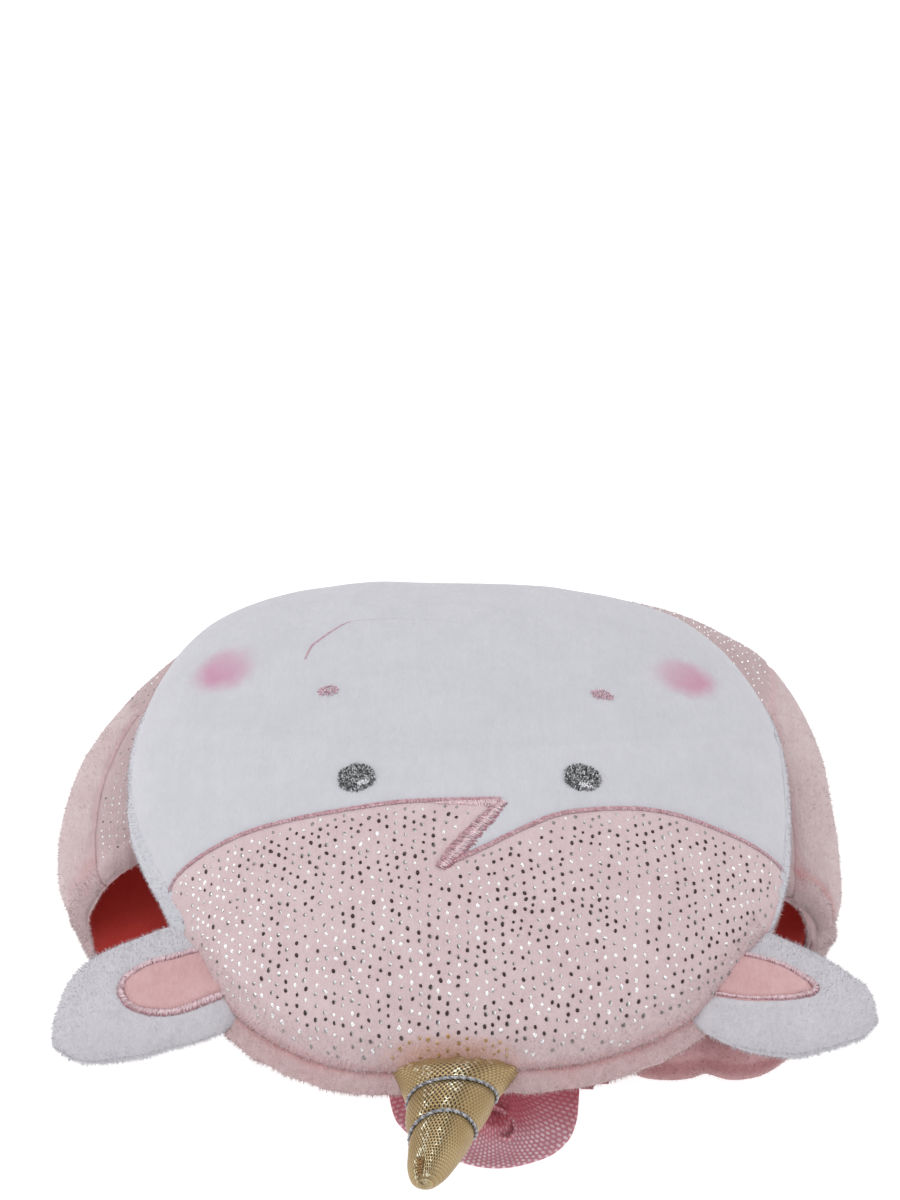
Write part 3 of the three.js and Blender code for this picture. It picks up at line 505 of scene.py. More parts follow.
M_WHITE = plush("white_plush", (0.588, 0.588, 0.628), (0.53, 0.53, 0.57), grain=0.35)
M_MUZZLE = plush("white_plush_blush", (0.58, 0.582, 0.62), (0.525, 0.527, 0.565), grain=0.35, blush_and_bounce=[
    dict(spot=CHEEKS[0], color=(0.53, 0.21, 0.34), amount=0.64, lean=(-0.25, -0.25)),
    dict(spot=CHEEKS[1], color=(0.53, 0.21, 0.32), amount=0.62, lean=(0.3, -0.15))])
M_EAR = plush("ear_white_plush", (0.62, 0.605, 0.645), (0.54, 0.525, 0.56), pile=1.4)
# the crease colours here and below are painted shade for creases, seams and hollows
M_FORELOCK = plush("foil_plush", (0.655, 0.525, 0.54), (0.585, 0.445, 0.46), crease_shade=(0.60, 0.29, 0.30),
                   # painted gold bounce light from the horn, round its base
                   blush_and_bounce=[dict(spot=(2, -113.5, 27, 7), color=(0.58, 0.26, 0.14), amount=0.55)])
# the forelock's foil plush made darker: painted shade for the sack beside and under the head
M_SACKFOIL_SHADED = plush("sack_foil_plush_shaded", (0.555, 0.44, 0.45), (0.48, 0.36, 0.37), crease_shade=(0.50, 0.24, 0.25))
M_PINK = plush("pink_plush", (0.64, 0.525, 0.53), (0.55, 0.42, 0.43), pile=1.4, crease_shade=(0.62, 0.27, 0.28))
M_WELT = plush("welt_plush", (0.61, 0.46, 0.465), (0.52, 0.37, 0.375), pile=1.8, crease_shade=(0.64, 0.28, 0.285))
# the strap's pink, darker and redder than the sack's, is painted shade from the head above
M_STRAP_SHADED = plush("strap_plush_shaded", (0.53, 0.31, 0.32), (0.42, 0.21, 0.22), pile=1.4, crease_shade=(0.30, 0.09, 0.10))
M_EARPINK = plush("ear_pink_plush", (0.66, 0.43, 0.435), (0.56, 0.33, 0.335), crease_shade=(0.42, 0.17, 0.19))
# fibre colours, lighter than their pile's: painted light; the strap's are kept dark as painted shade
F_WHITE = strands("white_fibres", (0.70, 0.69, 0.735), (0.59, 0.58, 0.62))
F_PINK = strands("pink_fibres", (0.71, 0.58, 0.59), (0.60, 0.46, 0.47))
F_WELT = strands("welt_fibres", (0.69, 0.53, 0.535), (0.56, 0.41, 0.415))
F_STRAP_SHADED = strands("strap_fibres", (0.56, 0.34, 0.35), (0.42, 0.22, 0.23))
# satin thread: the dark colour is its painted shade, the light one its painted lit ridge
M_SATIN = thread("satin_thread", (0.90, 0.73, 0.77), (0.46, 0.165, 0.215), rough=0.36)
M_EYE = thread("eye_thread", (0.62, 0.63, 0.64), (0.04, 0.042, 0.046), rough=0.32, metallic=0.6, sheen=0.0)
M_EYEWHITE = thread("eye_white_thread", (0.85, 0.85, 0.88), (0.42, 0.42, 0.45), rough=0.5)
M_NOSE = thread("nose_thread", (0.80, 0.60, 0.66), (0.52, 0.27, 0.34))
M_PALE = thread("pale_thread", (0.60, 0.575, 0.61), (0.50, 0.44, 0.47))


def foil():
    k = Look("foil_dots")
    tone = k.add("SeparateColor", {0: k.add("VertexColor", layer_name="tone").outputs[0]})
    # painted reflection: the tone's red picks a dark or bright reflection, its green a gold reflection of the horn
    col = k.mix(tone.outputs[0], (0.040, 0.020, 0.022), (0.97, 0.97, 0.98))
    col = k.mix(tone.outputs[1], col, (0.42, 0.24, 0.06))
    rough = k.remap(k.noise(k.where(), 900, 1.0), 0.3, 0.7, 0.14, 0.34)
    return k.surface(Base_Color=col, Metallic=0.55, Roughness=rough, Specular_IOR_Level=0.6,
                     Normal=k.bump(k.noise(k.where(), 700, 2.0), 0.0003, 0.5))


M_FOIL = foil()


def lame():
    """Gold lame: fine ribs across and a staggered grid of tiny dark holes. UV is round and along, in mm."""
    k = Look("gold_lame")
    uv = k.add("TexCoord").outputs["UV"]
    s = k.add("SeparateXYZ", {0: uv})
    u, v = s.outputs[0], s.outputs[1]
    rib = k.math("SINE", k.math("MULTIPLY", v, 2 * math.pi / 0.95))
    a = k.math("SINE", k.math("MULTIPLY", k.math("ADD", k.math("DIVIDE", u, 1.75), k.math("DIVIDE", v, 1.9)), math.pi))
    b = k.math("SINE", k.math("MULTIPLY", k.math("SUBTRACT", k.math("DIVIDE", u, 1.75), k.math("DIVIDE", v, 1.9)), math.pi))
    dots = k.math("MULTIPLY", k.math("ABSOLUTE", a), k.math("ABSOLUTE", b))
    # the tone's red: how strongly the holes show, most where the horn faces the light (painted light); its green:
    # painted highlight bands for the glints
    zone = k.add("SeparateColor", {0: k.add("VertexColor", layer_name="tone").outputs[0]})
    hole = k.math("MULTIPLY", k.remap(dots, 0.42, 0.62, 0, 1), zone.outputs[0])
    glint = k.math("MULTIPLY", k.remap(k.noise(k.where(), 700, 2.0, 0.7), 0.50, 0.60, 0, 1), zone.outputs[1])
    cloud = k.remap(k.noise(k.where(), 60, 3.0), 0.35, 0.65, 0, 1)
    col = k.mix(cloud, (0.40, 0.29, 0.135), (0.50, 0.38, 0.20))
    line = k.math("MULTIPLY", k.remap(rib, 0.1, 0.95, 0, 1), 0.6)
    col = k.mix(line, col, (0.36, 0.19, 0.06))
    col = k.mix(glint, col, (1.0, 0.93, 0.68))
    col = k.mix(hole, col, (0.035, 0.022, 0.006))
    h = k.math("SUBTRACT", k.math("MULTIPLY", rib, -0.3), hole)
    rough = k.remap(glint, 0, 1, 0.42, 0.16)
    metal = k.math("MULTIPLY", k.math("SUBTRACT", 1.0, hole), 0.6)
    return k.surface(Base_Color=col, Metallic=metal, Roughness=rough, Normal=k.bump(h, 0.00022, 0.8))


M_LAME = lame()
M_CORD = thread("silver_cord", (0.56, 0.57, 0.60), (0.10, 0.10, 0.12), rough=0.3, metallic=0.55, sheen=0.0)


def webbing():
    """Woven band: staggered short pale picks on a rose ground. UV is along and across, in mm."""
    k = Look("webbing")
    uv = k.add("TexCoord").outputs["UV"]
    s = k.add("SeparateXYZ", {0: uv})
    u, v = s.outputs[0], s.outputs[1]
    row = k.math("FLOOR", k.math("DIVIDE", v, 1.7))
    half = k.math("MULTIPLY", k.math("FRACT", k.math("MULTIPLY", row, 0.5)), 2.0)
    uu = k.math("ADD", k.math("DIVIDE", u, 2.5), k.math("MULTIPLY", half, 0.5))
    cell_u = k.math("ABSOLUTE", k.math("SUBTRACT", k.math("FRACT", uu), 0.5))
    cell_v = k.math("ABSOLUTE", k.math("SUBTRACT", k.math("FRACT", k.math("DIVIDE", v, 1.7)), 0.5))
    r = k.math("SQRT", k.math("ADD", k.math("MULTIPLY", k.math("MULTIPLY", cell_u, cell_u), 6.5),
                              k.math("MULTIPLY", k.math("MULTIPLY", cell_v, cell_v), 9.0)))
    pick = k.remap(r, 1.2, 0.75, 0, 1)
    wear = k.remap(k.noise(k.where(), 260, 2.0), 0.3, 0.7, 0.55, 1.0)
    fine = k.noise(k.where(), 2400, 2.0)
    # the tone attribute is painted light: low tones for painted shade, high tones where lit
    tone = k.add("SeparateColor", {0: k.add("VertexColor", layer_name="tone").outputs[0]})
    ground = k.mix(tone.outputs[0], (0.50, 0.085, 0.125), (0.62, 0.27, 0.33))
    pale = k.mix(tone.outputs[0], (0.60, 0.18, 0.235), (0.93, 0.76, 0.81))
    col = k.mix(k.math("MULTIPLY", pick, wear), ground, pale)
    h = k.math("ADD", pick, k.math("MULTIPLY", fine, 0.15))
    return k.surface(Base_Color=col, Roughness=0.6, Specular_IOR_Level=0.35, Sheen_Weight=0.25, Sheen_Roughness=0.4,
                     Normal=k.bump(h, 0.0004, 0.9))


M_WEB = webbing()


def lining_cloth():
    k = Look("lining_cloth")
    at = k.where()
    weave = k.math("MULTIPLY", k.math("SINE", k.math("MULTIPLY", k.add("SeparateXYZ", {0: k.add("TexCoord").outputs["Object"]}).outputs[0], 9000)),
                   k.math("SINE", k.math("MULTIPLY", k.add("SeparateXYZ", {0: k.add("TexCoord").outputs["Object"]}).outputs[1], 9000)))
    cloud = k.noise(at, 45, 3.0, 0.6)
    fine = k.noise(at, 1500, 2.0)
    col = k.mix(k.remap(cloud, 0.35, 0.68, 0, 1), (0.36, 0.028, 0.022), (0.44, 0.036, 0.028))
    col = k.mix(k.math("MULTIPLY", k.remap(fine, 0.35, 0.7, 0, 1), 0.3), col, (0.48, 0.07, 0.06))
    # the red glow is painted light in the dark lining
    return k.surface(Base_Color=col, Roughness=0.85, Specular_IOR_Level=0.2, Sheen_Weight=0.1, Sheen_Roughness=0.5,
                     Emission_Color=(0.6, 0.05, 0.04), Emission_Strength=0.10,
                     Normal=k.bump(k.math("ADD", weave, fine), 0.0002, 0.5))


M_LINING = lining_cloth()
M_TAB = plush("tab_cloth", (0.42, 0.17, 0.19), (0.28, 0.09, 0.11), sheen=0.1, pile=0.5)
M_SEAM = thread("seam_thread", (0.70, 0.40, 0.44), (0.42, 0.17, 0.2))


def moulded():
    k = Look("adjuster_plastic")
    at = k.where()
    c = k.noise(at, 160, 3.0)
    f = k.noise(at, 1800, 2.0)
    col = k.mix(k.remap(c, 0.3, 0.7, 0, 1), (0.46, 0.22, 0.25), (0.52, 0.27, 0.30))
    rough = k.remap(f, 0.3, 0.7, 0.42, 0.6)
    return k.surface(Base_Color=col, Roughness=rough, Normal=k.bump(f, 0.00008, 0.4))


M_PLASTIC = moulded()

# ------------------------------------------------------------------ the head's surface


def head_radius(th):
    n = len(HEAD_R)
    r = np.array(HEAD_R)
    f = (np.asarray(th, float) / (2 * np.pi) % 1) * n
    i = np.floor(f).astype(int)
    u = f - i
    p = [r[(i + k) % n] for k in (-1, 0, 1, 2)]
    return 0.5 * (2 * p[1] + (p[2] - p[0]) * u + (2 * p[0] - 5 * p[1] + 4 * p[2] - p[3]) * u**2
                  + (3 * p[1] - p[0] - 3 * p[2] + p[3]) * u**3)


def head_k(x, y):
    th = np.arctan2(y - HEAD_Y, x - HEAD_X)
    return np.hypot(x - HEAD_X, y - HEAD_Y) / head_radius(th), th


def dome_z(k):
    return SEAM_Z + DOME_H * np.maximum(0, 1 - np.clip(k, 0, 1) ** DOME_P) ** (1 / DOME_Q)


_ks = np.concatenate([np.linspace(0, 0.9, 400), 1 - np.linspace(0.316, 0, 400) ** 2])
_ks = np.unique(_ks)
_s = np.concatenate([[0], np.cumsum(np.hypot(np.diff(_ks) * 118, np.diff(dome_z(_ks))))])
ARC = _s[-1]                                     # arc length from the crown to the seam, mm


def k_at_arc(s):
    return np.interp(s, _s, _ks)


def arc_at_k(k):
    return np.interp(k, _ks, _s)


def seam_wrinkle(th, d, z=0.0):
    """Small gathers that run out from the perimeter seam; d is the distance from it."""
    near = smooth(0.25, 0.75, -np.sin(th))
    c = np.stack([np.cos(th) * 60, np.sin(th) * 60, np.zeros_like(th) + d * 0.05], -1)
    g = noise(c, 2.6, 31) * 0.6 + noise(c, 5.2, 32) * 0.7 + noise(c, 1.5, 33) * 0.3
    strong = 0.35 + 0.65 * smooth(-0.4, 0.6, noise(c, 22.0, 34))
    return g * strong * (0.12 + 0.42 * near) * np.exp(-((d / (7 + 5 * near)) ** 2))


def lumps(P):
    return fbm(P, 62, 3, 2) * 0.7 + fbm(P, 21, 5, 2) * 0.18


def head_point(x, y, extra=0.0):
    """A point on the stuffed head above a plan point, and the normal there."""
    x, y = np.asarray(x, float), np.asarray(y, float)
    k, th = head_k(x, y)
    z = dome_z(k)
    h = 0.05
    gx = (dome_z(head_k(x + h, y)[0]) - dome_z(head_k(x - h, y)[0])) / (2 * h)
    gy = (dome_z(head_k(x, y + h)[0]) - dome_z(head_k(x, y - h)[0])) / (2 * h)
    N = unit(np.stack([-gx, -gy, np.ones_like(gx)], -1))
    P = np.stack([x, y, z], -1)
    d = ARC - arc_at_k(np.clip(k, 0, 1))
    calm = smooth(0, 6, d)
    near = smooth(0.15, 0.5, -np.sin(th))
    edge = (-0.2 + 0.9 * near) * np.exp(-((d / 3.0) ** 2))
    amount = lumps(P) * (0.25 + 0.75 * calm) + seam_wrinkle(th, d) + edge + extra
    return P + N * np.asarray(amount)[..., None], N


def plan_curve(points, corners=()):
    """A seam across the head, cut where it leaves the outline."""
    c = resample(curve_through(points, 16, corners), STEP * 0.7)
    k, _ = head_k(c[:, 0], c[:, 1])
    inside = np.nonzero(k < 1)[0]
    a, b = inside[0], inside[-1]

    def cross(i, j):
        ki, kj = k[i], k[j]
        t = (1 - ki) / (kj - ki)
        return c[i] + (c[j] - c[i]) * t

    return np.vstack([cross(a, a - 1), c[a:b + 1], cross(b, b + 1)])


def arc_points(p, q, ccw=True):
    """The outline from p to q."""
    a = math.atan2(p[1] - HEAD_Y, p[0] - HEAD_X)
    b = math.atan2(q[1] - HEAD_Y, q[0] - HEAD_X)
    if ccw:
        while b <= a:
            b += 2 * math.pi
    else:
        while b >= a:
            b -= 2 * math.pi
    n = max(2, int(abs(b - a) * 118 / (STEP * 0.9)))
    th = np.linspace(a, b, n + 1)[1:-1]
    r = head_radius(th)
    return np.stack([HEAD_X + r * np.cos(th), HEAD_Y + r * np.sin(th)], 1)


def in_polygon(pts, poly):
    x, y = pts[:, 0], pts[:, 1]
    inside = np.zeros(len(pts), bool)
    px, py = poly[:, 0], poly[:, 1]
    qx, qy = np.roll(px, -1), np.roll(py, -1)
    for a, b, c, d in zip(px, py, qx, qy):
        if b == d:
            continue
        hit = ((b > y) != (d > y)) & (x < (c - a) * (y - b) / (d - b) + a)
        inside ^= hit
    return inside


def distance_to(pts, line):
    """Distance from plan points to a polyline."""
    best = np.full(len(pts), 1e9)
    for a, b in zip(line[:-1], line[1:]):
        ab = b - a
        t = np.clip(((pts - a) @ ab) / max(ab @ ab, 1e-12), 0, 1)
        best = np.minimum(best, np.hypot(*(pts - a - t[:, None] * ab).T))
    return best


SEAM_LINE = plan_curve(MUZZLE_SEAM)
HAIR_LINE = plan_curve(HAIRLINE, corners=(7, 8))
# rings of points over the dome, evenly spaced along the surface
_rings = []
for s in np.arange(0, ARC - STEP * 0.3, STEP):
    kk = k_at_arc(s)
    n = max(6, int(2 * math.pi * 118 * kk / STEP))
    th = (np.arange(n) + 0.5 * (len(_rings) % 2)) * 2 * math.pi / n
    r = head_radius(th) * kk
    _rings.append(np.stack([HEAD_X + r * np.cos(th), HEAD_Y + r * np.sin(th)], 1))
DOME_PTS = np.vstack(_rings)


def head_panel(name, outline, seams, mat, depth, width):
    """One sewn panel of the head: its outline in plan and the sewn lines that it dips to."""
    inner = DOME_PTS[in_polygon(DOME_PTS, outline)]
    near = np.full(len(inner), 1e9)
    for line in seams:
        near = np.minimum(near, distance_to(inner, line))
    k, _ = head_k(inner[:, 0], inner[:, 1])
    inner = inner[(near > STEP * 0.45) & (ARC - arc_at_k(k) > STEP * 0.4)]
    pts = np.vstack([outline, inner])
    nb = len(outline)
    co, _, tri, _, _, _ = geometry.delaunay_2d_cdt([tuple(p) for p in pts], [], [list(range(nb))], 1, 1e-6)
    P = np.array([tuple(c) for c in co])
    d = np.full(len(P), 1e9)
    for line in seams:
        d = np.minimum(d, distance_to(P, line))
    extra = -depth * np.exp(-((d / width) ** 2)) + 0.3 * depth * np.exp(-(((d - 3.4) / 1.8) ** 2))
    V, _ = head_point(P[:, 0], P[:, 1], extra)
    F = np.array([list(t) for t in tri])
    # close below: the boundary dropped to a flat floor inside the cushion
    low = V[:nb].copy()
    mid = np.array([HEAD_X, HEAD_Y])
    low[:, :2] = mid + (low[:, :2] - mid) * 0.975
    low[:, 2] = SEAM_Z - 2.5
    n = len(V)
    i = np.arange(nb)
    j = (i + 1) % nb
    side = np.stack([i, n + i, n + j, j], 1)
    flat, _, tri2, _, _, _ = geometry.delaunay_2d_cdt([tuple(p) for p in low[:, :2]], [], [list(range(nb))], 1, 1e-6)
    bottom = n + np.array([list(t) for t in tri2])[:, ::-1]
    if len(flat) != nb:
        bottom = np.zeros((0, 3), int)
    # winding: the top's normals point up
    a, b, c = V[F[:, 0]], V[F[:, 1]], V[F[:, 2]]
    if np.cross(b - a, c - a)[:, 2].sum() < 0:
        F = F[:, ::-1]
    k, th = head_k(P[:, 0], P[:, 1])
    # painted shade along the near seam, where the head's edge meets the welt in a crease
    rim = np.exp(-(((ARC - arc_at_k(np.clip(k, 0, 1))) / 2.2) ** 2)) * smooth(0.1, 0.4, -np.sin(th)) * 0.75
    tone = np.concatenate([rim, np.ones(len(low))])
    o = make(name, np.vstack([V, low]), [F, side, bottom], mat, color=np.stack([tone] * 3, 1))
    ends = np.zeros(2 * len(o.data.edges), np.int32)
    o.data.edges.foreach_get("vertices", ends)
    ends = ends.reshape(-1, 2)
    step = np.abs(ends[:, 0] - ends[:, 1])
    sharp = (ends < nb).all(1) & ((step == 1) | (step == nb - 1))
    o.data.attributes.new("sharp_edge", "BOOLEAN", "EDGE").data.foreach_set("value", sharp)
    return o


left_m, right_m = SEAM_LINE[0], SEAM_LINE[-1]
left_h, right_h = HAIR_LINE[0], HAIR_LINE[-1]
muzzle = head_panel("muzzle_plush", np.vstack([SEAM_LINE, arc_points(right_m, left_m)]), [SEAM_LINE], M_MUZZLE, 0.42, 1.9)
forehead = head_panel("forehead_plush", np.vstack([HAIR_LINE, arc_points(right_h, right_m), SEAM_LINE[::-1], arc_points(left_m, left_h)]),
                      [SEAM_LINE, HAIR_LINE], M_WHITE, 0.42, 1.9)
forelock = head_panel("forelock_plush", np.vstack([HAIR_LINE[::-1], arc_points(left_h, right_h)]), [HAIR_LINE], M_FORELOCK, 0.5, 2.2)
for o, node, s in ((muzzle, "muzzle", "white_plush"), (forehead, "forehead", "white_plush"), (forelock, "forelock", "foil_plush")):
    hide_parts(node)


# ---- back panel of the head, rolled forward as a welt
def welt_out(th):
    return WELT_SIDE + (WELT_NEAR - WELT_SIDE) * smooth(0.35, 0.85, -np.sin(th))


def under_grid(nv, nu):
    t = np.concatenate([np.linspace(0, 0.6, int(nv * 0.75), endpoint=False), np.linspace(0.6, 1, nv - int(nv * 0.75))])[:, None]
    th = (2 * np.pi * np.arange(nu) / nu)[None, :]
    bulge = np.sin(np.pi * np.minimum(1, t / 0.5))
    k = 1 - (1 - UNDER_K) * np.maximum(0, (t - 0.3) / 0.7) ** 1.5
    r = head_radius(th) * k + welt_out(th) * bulge
    z = SEAM_Z - 0.3 - (SEAM_Z - 0.3 - UNDER_Z) * t**0.9
    x = HEAD_X + r * np.cos(th)
    y = HEAD_Y + r * np.sin(th)
    G = np.stack([x, y, np.broadcast_to(z, x.shape)], -1)
    d = np.concatenate([[0], np.cumsum(np.linalg.norm(np.diff(G.mean(1) * 0 + G[:, nu * 3 // 4], axis=0), axis=1))])[:, None]
    return G, t, np.broadcast_to(th, x.shape), np.broadcast_to(d, x.shape)


nu = 520
G, tt, th, dd = under_grid(44, nu)
N = grid_normals(G, wrap=True)
if (N[10, :, :2] * (G[10, :, :2] - [HEAD_X, HEAD_Y])).sum() < 0:
    N = -N
edge = np.exp(-((dd / 1.8) ** 2))
calm = smooth(1.0, 0.75, tt)
wr = seam_wrinkle(th, dd * 0.8)
G = G + N * ((wr * 1.5 + fbm(G, 16, 8, 2) * 0.35 - 0.3 * edge + 0.35 * fbm(G, 5, 12, 2)) * calm)[..., None]
V, F = lofted(G)
# painted shade in the crease along the seam and in the wrinkles' hollows
tone = np.clip(0.85 * np.exp(-((dd / 2.0) ** 2)) + np.clip(-wr, 0, 1) * 0.7, 0, 1).reshape(-1)
tone = np.concatenate([tone, [0, 0]])
head_back = make("head_back_plush", V, F, M_WELT, color=np.stack([tone] * 3, 1))
welt_G, welt_N, welt_d = G, N, dd
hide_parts("head_back")

# ---- white plush rolled over the rim beside the two open corners
def rim_roll(name, a0, a1, out, seed):
    th = np.radians(np.linspace(a0, a1, int(abs(a1 - a0) * 1.8)))
    fade = np.minimum(1, np.minimum(np.arange(len(th)), np.arange(len(th))[::-1]) / 7.0) ** 0.7
    R = head_radius(th)
    B = out(np.degrees(th)) * fade
    c, s_ = np.cos(th), np.sin(th)
    k0 = k_at_arc(ARC - 2.6)
    k1 = k_at_arc(ARC - 5.2)
    rows = [(R * k1, np.full(len(th), float(dome_z(k1))) - 0.7), (R * k0, np.full(len(th), float(dome_z(k0))) + 0.42 * fade - 0.5 * (1 - fade)),
            (R - 0.1 + 0.55 * B, 61.2 - 0.8 * (1 - fade)), (R + 0.5 + 1.0 * B, 58.6), (R + 0.5 + 1.05 * B, 55.6),
            (R + 0.1 + 0.8 * B, 52.6), (R - 1.2 + 0.2 * B, 50.2)]
    pts = np.stack([np.stack([HEAD_X + r * c, HEAD_Y + r * s_, z + 0 * r], 1) for r, z in rows], 0)
    fine = np.stack([curve_through(pts[:, i], 5) for i in range(len(th))], 1)
    Nn = grid_normals(fine)
    out_dir = np.stack([c, s_, 0.5 + 0 * c], 1)[None]
    if (Nn * out_dir).sum() < 0:
        Nn = -Nn
    top = fine + Nn * (0.25 * fbm(fine, 7, seed, 2))[..., None]
    V, F = slab(top, fine - Nn * 0.9)
    o = make(name, V, F, M_WHITE)
    P, Q = scatter(top, Nn, int(4500 * MANY * abs(a1 - a0) / 60), seed, weight=np.broadcast_to(fade[None] > 0.3, top.shape[:2]).astype(float))
    f = fibres(name + "_fibres", P, Q, F_WHITE, seed, length=1.0, width=0.2, spread=0.45)
    return o


rims = [rim_roll("head_rim_left", 158, 213, lambda a: 0.2 + 1.7 * smooth(172, 190, a), 141),
        rim_roll("head_rim_right", -34, 24, lambda a: 0.1 + 0.3 * smooth(20, 0, a), 142)]

# fibres of the welt, and of the pile that bends over the crease above it
near = smooth(0.2, 0.6, -np.sin(th))
P, Q = scatter(welt_G, welt_N, int(26000 * MANY), 151, weight=(0.12 + near) * (welt_d < 24), wrap=True)
fibres("welt_fibres", P, Q, F_WELT, 151, length=1.5, width=0.22, comb=(0, -0.1, 0.15), spread=0.4)
rng = np.random.default_rng(152)
m = int(15000 * MANY)
ft = rng.uniform(math.radians(216), math.radians(332), m)
fd = 12 * rng.random(m) ** 1.7
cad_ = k_at_arc(ARC - fd)
P, Q = head_point(HEAD_X + head_radius(ft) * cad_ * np.cos(ft), HEAD_Y + head_radius(ft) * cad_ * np.sin(ft))
fibres("forelock_fibres", P, Q, F_PINK, 152, length=1.1, width=0.2, comb=(0, -0.5, -0.2), spread=0.4)

# ------------------------------------------------------------------ ears


def ear_world(ear, s, y, z):
    a = math.radians(ear["angle"])
    return np.stack([ear["root"][0] + s * math.cos(a) - ear["flip"] * y * math.sin(a),
                     ear["root"][1] + s * math.sin(a) + ear["flip"] * y * math.cos(a), z + 0 * s + 0 * y], -1)


def ear_fields(ear):
    rows = ear["rows"]
    return [table(rows, 0, k) for k in (1, 2, 3)]


def ear_top(ear, s, y, out=0.0):
    c, b, t = ear_fields(ear)
    q = np.clip(np.abs((y - c(s)) / np.maximum(b(s), 0.1)), 0, 1)
    zz = ear["z"] + t(s) * (1 - q**2.3) ** 0.5
    P = ear_world(ear, s, y, zz)
    w = ear_wrinkle(P)
    P[..., 2] += w + out
    return P


def ear_wrinkle(P):
    return fbm(P, 15, 41, 2) * 0.45


def ear_mesh(side, ear):
    c, b, t = ear_fields(ear)
    rows = ear["rows"]
    s0, s1 = rows[0][0], rows[-1][0]
    n = 80
    u = np.linspace(0, 1, n)
    s = s0 + (s1 - s0) * (1 - (1 - u) ** 1.7)
    tip = s1 + np.array([0.5, 0.85, 1.0])
    shrink = np.array([0.72, 0.42, 0.15])
    ss = np.concatenate([s, tip])
    cc = np.concatenate([c(s), np.full(3, c(s1))])
    bb = np.concatenate([b(s), b(s1) * shrink])
    th_ = np.concatenate([t(s), t(s1) * shrink])
    m = 120
    a = 2 * np.pi * np.arange(m) / m
    y = cc[:, None] + bb[:, None] * pw(np.cos(a), 2 / 2.3)[None]
    q = np.clip(np.abs((y - cc[:, None]) / bb[:, None]), 0, 1)
    z = ear["z"] + np.sign(np.round(np.sin(a), 9))[None] * th_[:, None] * (1 - q**2.3) ** 0.5
    S = np.broadcast_to(ss[:, None], y.shape)
    G = ear_world(ear, S, y, z)
    N = grid_normals(G, wrap=True)
    centre = ear_world(ear, ss, cc, np.full(len(ss), float(ear["z"])))[:, None]
    if ((G - centre) * N).sum() < 0:
        N = -N
    up = (np.sin(a) > 0.02)[None, :]
    seam = np.exp(-((np.abs(np.sin(a)) / 0.10) ** 2))[None, :] * smooth(-4, 8, S)
    amount = np.where(up, 0, ear_wrinkle(G)) - 0.7 * seam + 0.12 * fbm(G, 4, 44, 2)
    G = G + N * amount[..., None]
    G[..., 2] += np.where(up, ear_wrinkle(G), 0)
    # soft folds near the root
    fold = np.exp(-((S - 1.0) / 9.0) ** 2) * np.sin(y / 3.1 + ear["flip"]) * 0.45
    G[..., 2] += np.where(up, fold, fold * 0.5)
    V, F = lofted(G)
    Nn = grid_normals(G, wrap=True)
    if ((G - centre) * Nn).sum() < 0:
        Nn = -Nn
    inner = ear["inner"]
    ci, bi = table(inner, 0, 1), table(inner, 0, 2)
    covered = up & (S < inner[-1][0]) & (np.abs(y - ci(S)) < bi(S) + 1.4)
    P, Q = scatter(G, Nn, int(14000 * MANY), 160 + len(side), weight=np.where(covered, 0.0, 1.0) * (S > -6), wrap=True)
    fibres(f"ear_{side}_fibres", P, Q, F_WHITE, 160 + len(side), length=1.3, width=0.2, comb=(0, -0.35, -0.1), spread=0.3)
    o = make(f"ear_{side}_plush", V, F, M_EAR)
    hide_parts(f"ear_{side}")
    return o


def ear_inner_mesh(side, ear):
    rows = ear["inner"]
    ci, bi = table(rows, 0, 1), table(rows, 0, 2)
    s0, s1 = rows[0][0], rows[-1][0]
    n, m = ((70, 44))
    u = np.linspace(0, 1, n)
    s = s0 + (s1 - s0) * (1 - (1 - u) ** 1.9)
    v = np.sin(np.linspace(-1, 1, m) * math.pi / 2)
    S = np.broadcast_to(s[:, None], (n, m))
    Y = ci(S) + v[None] * bi(S)
    fold = np.exp(-((S - 1.0) / 9.0) ** 2) * np.sin(Y / 3.1 + ear["flip"]) * 0.45
    edge = np.clip(((1 - np.abs(v[None])) * bi(S) - 1.9) / 1.5, 0, 1)
    lift = 0.2 + 1.05 * np.sqrt(np.clip(edge, 0, 1)) * smooth(s1 - 2.0, s1 - 5.0, S)
    top = ear_top(ear, S, Y, 0.0)
    top[..., 2] += lift + fold + 0.25 * fbm(top, 5, 46, 2)
    low = ear_top(ear, S, Y, -0.8)
    low[..., 2] += fold
    V, F = slab(top, low)
    o = make(f"ear_inner_{side}_plush", V, F, M_EARPINK)
    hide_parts(f"ear_inner_{side}")
    # outline of the panel, for its satin border
    e = np.linspace(0, 1, 140)
    se = s0 + (s1 - s0) * (1 - (1 - e) ** 1.9)
    in_by = 1.0 * smooth(0.0, 3.0, bi(se))
    se2 = np.minimum(se, s1 - 1.0)
    left = np.stack([se2, ci(se) - bi(se) + in_by], 1)
    right = np.stack([se2, ci(se) + bi(se) - in_by], 1)
    return o, np.vstack([left, right[::-1]])


# ------------------------------------------------------------------ satin stitching


